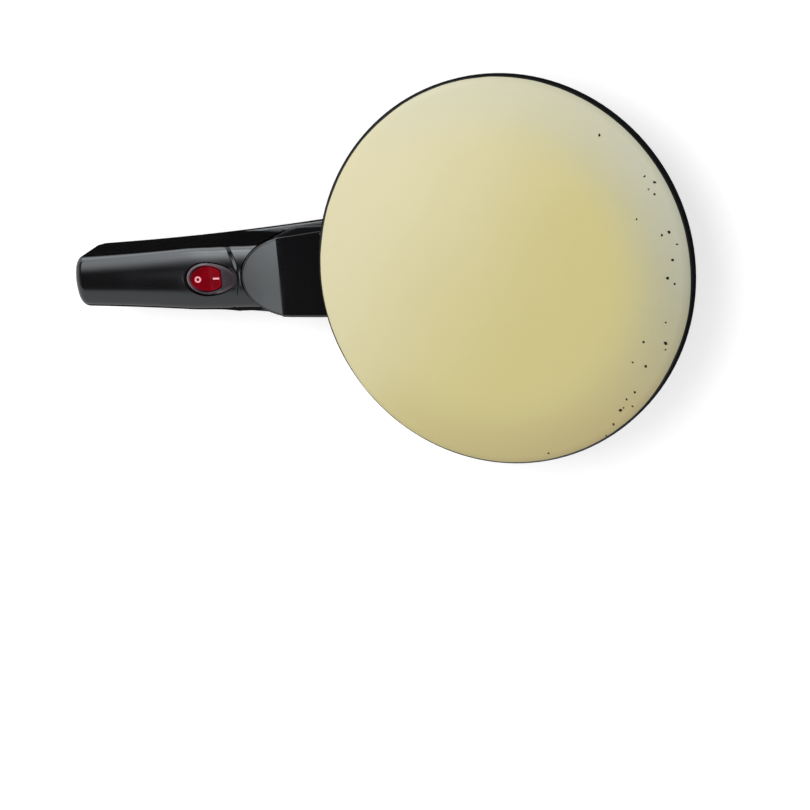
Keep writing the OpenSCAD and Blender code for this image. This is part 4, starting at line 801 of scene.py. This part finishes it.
# Height of each ring, and how far the wall has opened there
recess_flare = [(floor_z, 0.0), (floor_z + 1.0, 0.32), (pad_z - 0.7, 0.62), (pad_z - 0.25, 0.8),
                (pad_z - 0.05, 0.95), (pad_z + 0.02, 1.1), (pad_z + 0.3, 1.5)]
recess_rings = []
for z, flare in recess_flare:
    lead = recess_lead * (z - floor_z) / (pad_z + 0.5 - floor_z)
    recess_rings.append([(switch_x + x + max(0, x / recess_a) * lead, y, z)
                         for x, y in ellipse(recess_a + flare, recess_b + flare, 96)])
carve(shell, loft("recess", recess_rings))
carve(shell, upright("housing_bore", housing_a + mould_gap, housing_b + mould_gap, 20, pad_z, switch_x))
print("recessed:", len(shell.data.polygons), "faces")

# %% Bore the cord's way in, and finish the shell
def lying(name, radius, x_low, x_high, z, count=48):
    """A round bar along X."""
    return loft(name, [[(x, p, z + q) for p, q in ellipse(radius, radius, count)] for x in (x_low, x_high)])


end_x = plate_x - handle_end
gland_r, gland_l, gland_seat_r, gland_seat_l = 6.25, 11, 9.0, 6
carve(shell, lying("cord_bore", gland_r, end_x - 1, end_x + gland_l, split_z))
seat_x = end_x + shell_wall
carve(shell, lying("cord_seat", gland_seat_r, seat_x, seat_x + gland_seat_l, split_z))
finish_piece(shell, "housing", "shell", "handle_top", crisp=math.radians(38))

# %% [markdown]
# ## Neck cover and lower shells
# The neck cover, the lower half of the handle and the base are good solids already. What they miss is what a
# mould gives every outer edge: a small radius that catches the light. They could be drawn anew too, but it
# is less work to copy each, make its flat areas one face each, and bevel the edges that show. The cover's
# sides also lean in, so that it comes out of its mould.

# %% Copy a solid and round its edges
def soft_copy(name, node_name, chosen, radius, segments):
    """Copies a node's solid and bevels the edges that the function chosen picks."""
    bm = bmesh.new()
    bm.from_mesh(nodes[node_name].data)
    bmesh.ops.scale(bm, vec=(1 / MM, 1 / MM, 1 / MM), verts=bm.verts)
    bmesh.ops.remove_doubles(bm, verts=bm.verts, dist=0.003)
    bmesh.ops.dissolve_limit(bm, angle_limit=math.radians(0.4), verts=bm.verts, edges=bm.edges)
    picked = [edge for edge in bm.edges if edge.is_manifold and edge.calc_face_angle(0) > CRISP
              and edge.is_convex and all(chosen(vert.co) for vert in edge.verts)]
    bmesh.ops.bevel(bm, geom=picked, affect="EDGES", offset=radius, segments=segments, profile=0.5,
                    material=-1, clamp_overlap=False, miter_outer="ARC")
    print(name, "rounded edges:", len(picked))
    return to_object(name, bm)


# %% Neck cover
def on_top(p):
    """The neck cover's upper outline, round the tongue and down the slopes as far as the plate."""
    return p.z > cover_top(plate_x - p.x) - 0.1 and plate_x - p.x > cover_seen_from


moulded_r, cover_seen_from, ledge_seen_from = 1.5, 98, 96
neck_cover = soft_copy("neck_cover_shell", "neck_cover", on_top, moulded_r, 8)
slope_shift = 2.0  # how much nearer to the handle's end the first slope begins than in the solid
for vert in neck_cover.data.vertices:
    vert.co.y *= leaned(vert.co.z)
    # The points of the rounding between the flat top and the first slope
    if abs(vert.co.x - (plate_x - slope_start)) < 1.8 and vert.co.z > cover_z - 1.6:
        vert.co.x -= slope_shift
finish_piece(neck_cover, "housing", "shell", "neck_cover", crisp=math.radians(12.5))

# %% Lower shells
def on_ledge(p):
    """The outer upper edge of the lower shells, which shows beside the upper one."""
    s = plate_x - p.x
    return abs(p.z - split_z) < 0.05 and abs(p.y) > half_w(s) - 0.6 and s > ledge_seen_from


for name, solid in (("handle_bottom_shell", "handle_bottom"), ("base_shell", "base_housing")):
    finish_piece(soft_copy(name, solid, on_ledge, moulded_r, 6), "housing", "shell", solid)

# %% [markdown]
# ## The switch
# The bezel is an oval cup with a lip that lies on the recess floor. It could be a spun profile squashed to
# an oval, but that would squash its wall too. So its profile is skinned ring by ring, which also gives the
# lip and the mouth of the window their small radii.

# %% The bezel's body
window_a, window_b, land_cut = 10.7, 7.0, 1.8
bezel_top, cup_z, steep, level_off = bezel_high.z, 27.0, 7.6, 6.6
# Height, distance out from the window's wall, and run and rise of the apron towards the plate, ring by ring
body_rings = [
    (25.0, 1.0, 0, 0), (floor_z + 0.02, 1.0, 0, 0), (floor_z + 0.02, 1.6, 6.1, 2.15),
    (bezel_top - 0.5, 1.6, 6.1, 1.65), (bezel_top - 0.2, 1.5, 5.9, 1.42),
    (bezel_top - 0.05, 1.3, 5.4, 1.15), (bezel_top, 1.05, 0.3, 0.05),
]


def apron_ring(z, out, run, rise):
    """A ring whose side towards the plate runs out and rises, steeply at first and then nearly level."""
    points = []
    for x, y in ellipse(window_a + out, window_b + out, 96):
        front = max(0, x / (window_a + out))
        points.append((switch_x + x + run * front, y, z + rise * steep * front / (1 + level_off * front)))
    return points


bezel = loft("switch_bezel", [apron_ring(*measures) for measures in body_rings])
print("bezel points:", len(bezel.data.vertices))

# %% Its window and the bore of its pivot
land_x = window_a - land_cut
# The mouth of the window is chamfered, and a straight land closes its end towards the plate
mouth_rings = [(cup_z, 0.0), (bezel_top - 0.9, 0.0), (bezel_top - 0.25, 0.4), (bezel_top - 0.05, 0.6),
               (bezel_top + 0.1, 0.9)]
mouth = loft("mouth", [[(switch_x + min(x, land_x + out * 0.4), y, z)
                        for x, y in ellipse(window_a + out, window_b + out, 96)] for z, out in mouth_rings])
carve(bezel, mouth)
carve(bezel, upright("window", window_a, window_b, cup_z, bezel_top - 1.5, switch_x))


def crosswise(name, radius, x, z, reach, count):
    """A round bar along Y, through both sides."""
    circle = ellipse(radius, radius, count)
    return loft(name, [[(x + p, y, z + q) for p, q in circle] for y in (-reach, reach)])


pivot_z, trunnion_r, trunnion_bore_r = 40.4, 1.2, 1.25
carve(bezel, crosswise("trunnion_bore", trunnion_bore_r, switch_x, pivot_z, 10, 32))
finish_piece(bezel, "housing", "bezel", "switch_housing")

# %% [markdown]
# The rocker is an oval bar with two faces that slope down to its middle. Its ends are swept round the pivot,
# so that it tips without touching the window. It could be modelled face by face, but cutting it out of a
# bar, as a toolmaker would mill it, keeps the outline true. It is built level, and then tipped into its off
# position.

# %% Cut the rocker out of a bar
rocker_a, rocker_b, rocker_low = 9.45, 6.75, -2.4
dish_z, dish_angle, dish_blend = 4.0, math.radians(10), 3.0
dish_rise = 1.1 * rocker_a * math.tan(dish_angle)
dish_slope = dish_rise / (rocker_a + 1)
dish = [(-rocker_a - 1, rocker_low), (rocker_a + 1, rocker_low), (rocker_a + 1, dish_z + dish_rise)]
dish += [(x, dish_z + dish_slope * (x * x + dish_blend ** 2) / (2 * dish_blend))
         for x in steps(dish_blend, -dish_blend, 12)]
dish += [(-rocker_a - 1, dish_z + dish_rise)]
end_sweep_r, front_gap = 10.9, 1.1
rocker_front = window_a - land_cut - front_gap
rocker = upright("switch_rocker_bar", rocker_a, rocker_b, -3, 9, 0)
carve(rocker, crosswise("end_sweep", end_sweep_r, 0, 0, 20, 160), "INTERSECT")
carve(rocker, loft("dish", [[(x, y, z) for x, z in dish] for y in (-20, 20)]), "INTERSECT")
front = [(-20, -20), (rocker_front, -20), (rocker_front, 20), (-20, 20)]
carve(rocker, loft("front", [[(x, y, z) for x, y in front] for z in (-10, 20)]), "INTERSECT")
print("rocker faces:", len(rocker.data.polygons))

# %% Round its rim
rim_r = 0.45
bm = bmesh.new()
bm.from_mesh(rocker.data)
bmesh.ops.dissolve_limit(bm, angle_limit=math.radians(0.2), verts=bm.verts, edges=bm.edges)
rim = [edge for edge in bm.edges if edge.calc_face_angle(0) > CRISP and min(v.co.z for v in edge.verts) > 3]
rim_count = len(rim)
bmesh.ops.bevel(bm, geom=rim, affect="EDGES", offset=rim_r, segments=4, profile=0.5, material=-1,
                clamp_overlap=False)
bm.to_mesh(rocker.data)
bm.free()
print("rounded edges of the rocker:", rim_count)

# %% Add its boss and pivot, and tip it
boss_r, plunger_r = 2.2, 1.2
carve(rocker, upright("plunger_boss", boss_r, boss_r, -4, 0, 0, 0, 48), "UNION")
carve(rocker, crosswise("trunnion", trunnion_r, 0, 0, window_b + 0.7, 48), "UNION")
carve(rocker, upright("plunger_bore", plunger_r, plunger_r, -5, 1.5, 0, 0, 48))
bm = bmesh.new()
bm.from_mesh(rocker.data)
bmesh.ops.rotate(bm, cent=(0, 0, 0), matrix=Matrix.Rotation(dish_angle, 3, "Y"), verts=bm.verts)
bmesh.ops.translate(bm, vec=(switch_x, 0, pivot_z), verts=bm.verts)
bm.to_mesh(rocker.data)
bm.free()
finish_piece(rocker, "rocker", "rocker", "switch_rocker")

# %% [markdown]
# ## Floor, light and reflections
# The object lies on a white table under a white sky. Lit brightly enough to look white, they would flood the
# object. So Light Path lets them show white to the camera and in reflections, while the light that they
# throw on the object stays at a plain level.

# %% White sky
world = bpy.data.worlds.new("white_studio")
bpy.context.scene.world = world
world.use_nodes = True
sky = world.node_tree
sky.nodes.clear()


def seen_directly(tree):
    """One for rays of the camera, of reflections and of clear materials, and zero for diffuse light."""
    path = add(tree, "LightPath").outputs
    seen = add(tree, "Math", {0: path["Is Camera Ray"], 1: path["Is Glossy Ray"]}, operation="MAXIMUM")
    return add(tree, "Math", {0: seen, 1: path["Is Transmission Ray"]}, operation="MAXIMUM")


sky_level, sky_light, table_level = 1.0, 0.66, 0.57
level = add(sky, "MapRange", {"Value": seen_directly(sky), "To Min": sky_light, "To Max": sky_level})
backdrop = add(sky, "Background", {"Color": linear("#ffffff"), "Strength": level})
add(sky, "OutputWorld", {"Surface": backdrop})
print("sky: nodes", len(sky.nodes))

# %% White table
floor_mesh = bmesh.new()
bmesh.ops.create_grid(floor_mesh, x_segments=1, y_segments=1, size=3.0)
floor = to_object("table", floor_mesh)
table = bpy.data.materials.new("white_laminate")
table.use_nodes = True
tree = table.node_tree
tree.nodes.clear()
matt = add(tree, "BsdfDiffuse", {"Color": linear("#cfcfcf")})
glow_level = add(tree, "Math", {0: seen_directly(tree), 1: table_level}, operation="MULTIPLY")
glow = add(tree, "Emission", {"Color": linear("#ffffff"), "Strength": glow_level})
both = add(tree, "AddShader", {0: matt, 1: glow})
add(tree, "OutputMaterial", {"Surface": both})
floor.data.materials.append(table)
print("floor at z", round(floor.data.vertices[0].co.z, 3))

# %% [markdown]
# One large soft lamp gives the shadow its direction. A sun lamp could do so too, but with a hard shadow. It
# is hidden from reflections, where the cards below take its part.

# %% Key lamp
key_data = bpy.data.lights.new("key", "AREA")
key_data.shape = "DISK"
key_data.size = 1.1
key_data.energy = 12.5
key = bpy.data.objects.new("key", key_data)
key.location = (-0.25, 0.55, 1.6)
key.rotation_euler = (key.location - Vector((0.05, 0, 0))).to_track_quat("Z", "Y").to_euler()
key.visible_glossy = False
bpy.context.scene.collection.objects.link(key)
print("key lamp at", [round(v, 2) for v in key.location])

# %% [markdown]
# Glossy black plastic shows little but its surroundings, so plain cards stand round it as in a studio. An
# image of a real room could light it, but cards can be put just where a highlight is wanted. They are seen
# by reflections alone. The ceiling card is dark, with soft-edged bright windows in it, each placed where one
# face of the handle mirrors it to the camera: the neck cover's flat top, the grip's rolled edge, the bowed
# step. A black card under the object keeps its walls black, and a bright wall stands beside the handle.

# %% A card that reflections alone see
def reflected(name, corner, far_corner, brightness):
    """A card between two corners in millimetres, flat in one axis. Brightness gives its level in a tree."""
    low, high = Vector(corner), Vector(far_corner)
    bm = bmesh.new()
    bmesh.ops.create_grid(bm, x_segments=1, y_segments=1, size=0.5)
    if low.y == high.y:
        bmesh.ops.rotate(bm, cent=(0, 0, 0), matrix=Matrix.Rotation(math.pi / 2, 3, "X"), verts=bm.verts)
    bmesh.ops.scale(bm, vec=[max(v, 1) for v in high - low], verts=bm.verts)
    bmesh.ops.translate(bm, vec=(low + high) / 2, verts=bm.verts)
    bmesh.ops.scale(bm, vec=(MM, MM, MM), verts=bm.verts)
    piece = to_object(name, bm)
    paint = bpy.data.materials.new(name + "_paint")
    paint.use_nodes = True
    tree = paint.node_tree
    tree.nodes.clear()
    light = add(tree, "Emission", {"Color": linear("#f0f6fa"), "Strength": brightness(tree)})
    add(tree, "OutputMaterial", {"Surface": light})
    piece.data.materials.append(paint)
    piece.visible_camera = piece.visible_diffuse = piece.visible_shadow = piece.visible_transmission = False


# %% Windows of the ceiling card
# Each window: lowest and highest X, lowest and highest Y, softness of its edge in X and in Y, and brightness
windows = [
    (-411, -290, -205, -20, 6, 30, 2.8), (-395, -290, -76, -60, 20, 8, 3.5),
    (-770, -395, 145, 700, 40, 180, 3.1), (-1400, -395, 700, 1400, 40, 180, 3.1),
    (-490, -380, 165, 460, 30, 70, 2.4), (-600, -395, 460, 950, 40, 100, 3.2),
    (-505, -435, -75, 25, 50, 50, 0.25), (-1400, 500, -1000, -290, 60, 60, 1.0),
    (-1400, -950, -270, 260, 60, 60, 0.3), (150, 800, 215, 600, 60, 90, 3.4),
]
between_windows, under_object, beside_handle = 0.06, 0.015, 3.9


def ceiling(tree):
    """Adds up the windows, each faded out at its four edges."""
    place = add(tree, "TexCoord").outputs["Object"]
    axes = add(tree, "SeparateXYZ", {"Vector": place}).outputs
    total = between_windows
    for x_low, x_high, y_low, y_high, x_soft, y_soft, level in windows:
        for axis, low, high, soft in (("X", x_low, x_high, x_soft), ("Y", y_low, y_high, y_soft)):
            for edge, sign in ((low, 1), (high, -1)):
                ends = {"From Min": (edge - sign * soft / 2) * MM, "From Max": (edge + sign * soft / 2) * MM}
                step = add(tree, "MapRange", {"Value": axes[axis], **ends}, interpolation_type="SMOOTHSTEP")
                level = add(tree, "Math", {0: level, 1: step}, operation="MULTIPLY")
        total = add(tree, "Math", {0: total, 1: level}, operation="ADD")
    return total


print("windows in the ceiling card:", len(windows))

# %% Hang the cards
reflected("ceiling_card", (-1400, -1000, 700), (900, 1400, 700), ceiling)
reflected("under_card", (-260, -180, 0.5), (430, 300, 0.5), lambda tree: under_object)
reflected("wall_card", (-1400, 1300, 40), (-600, 1300, 700), lambda tree: beside_handle)
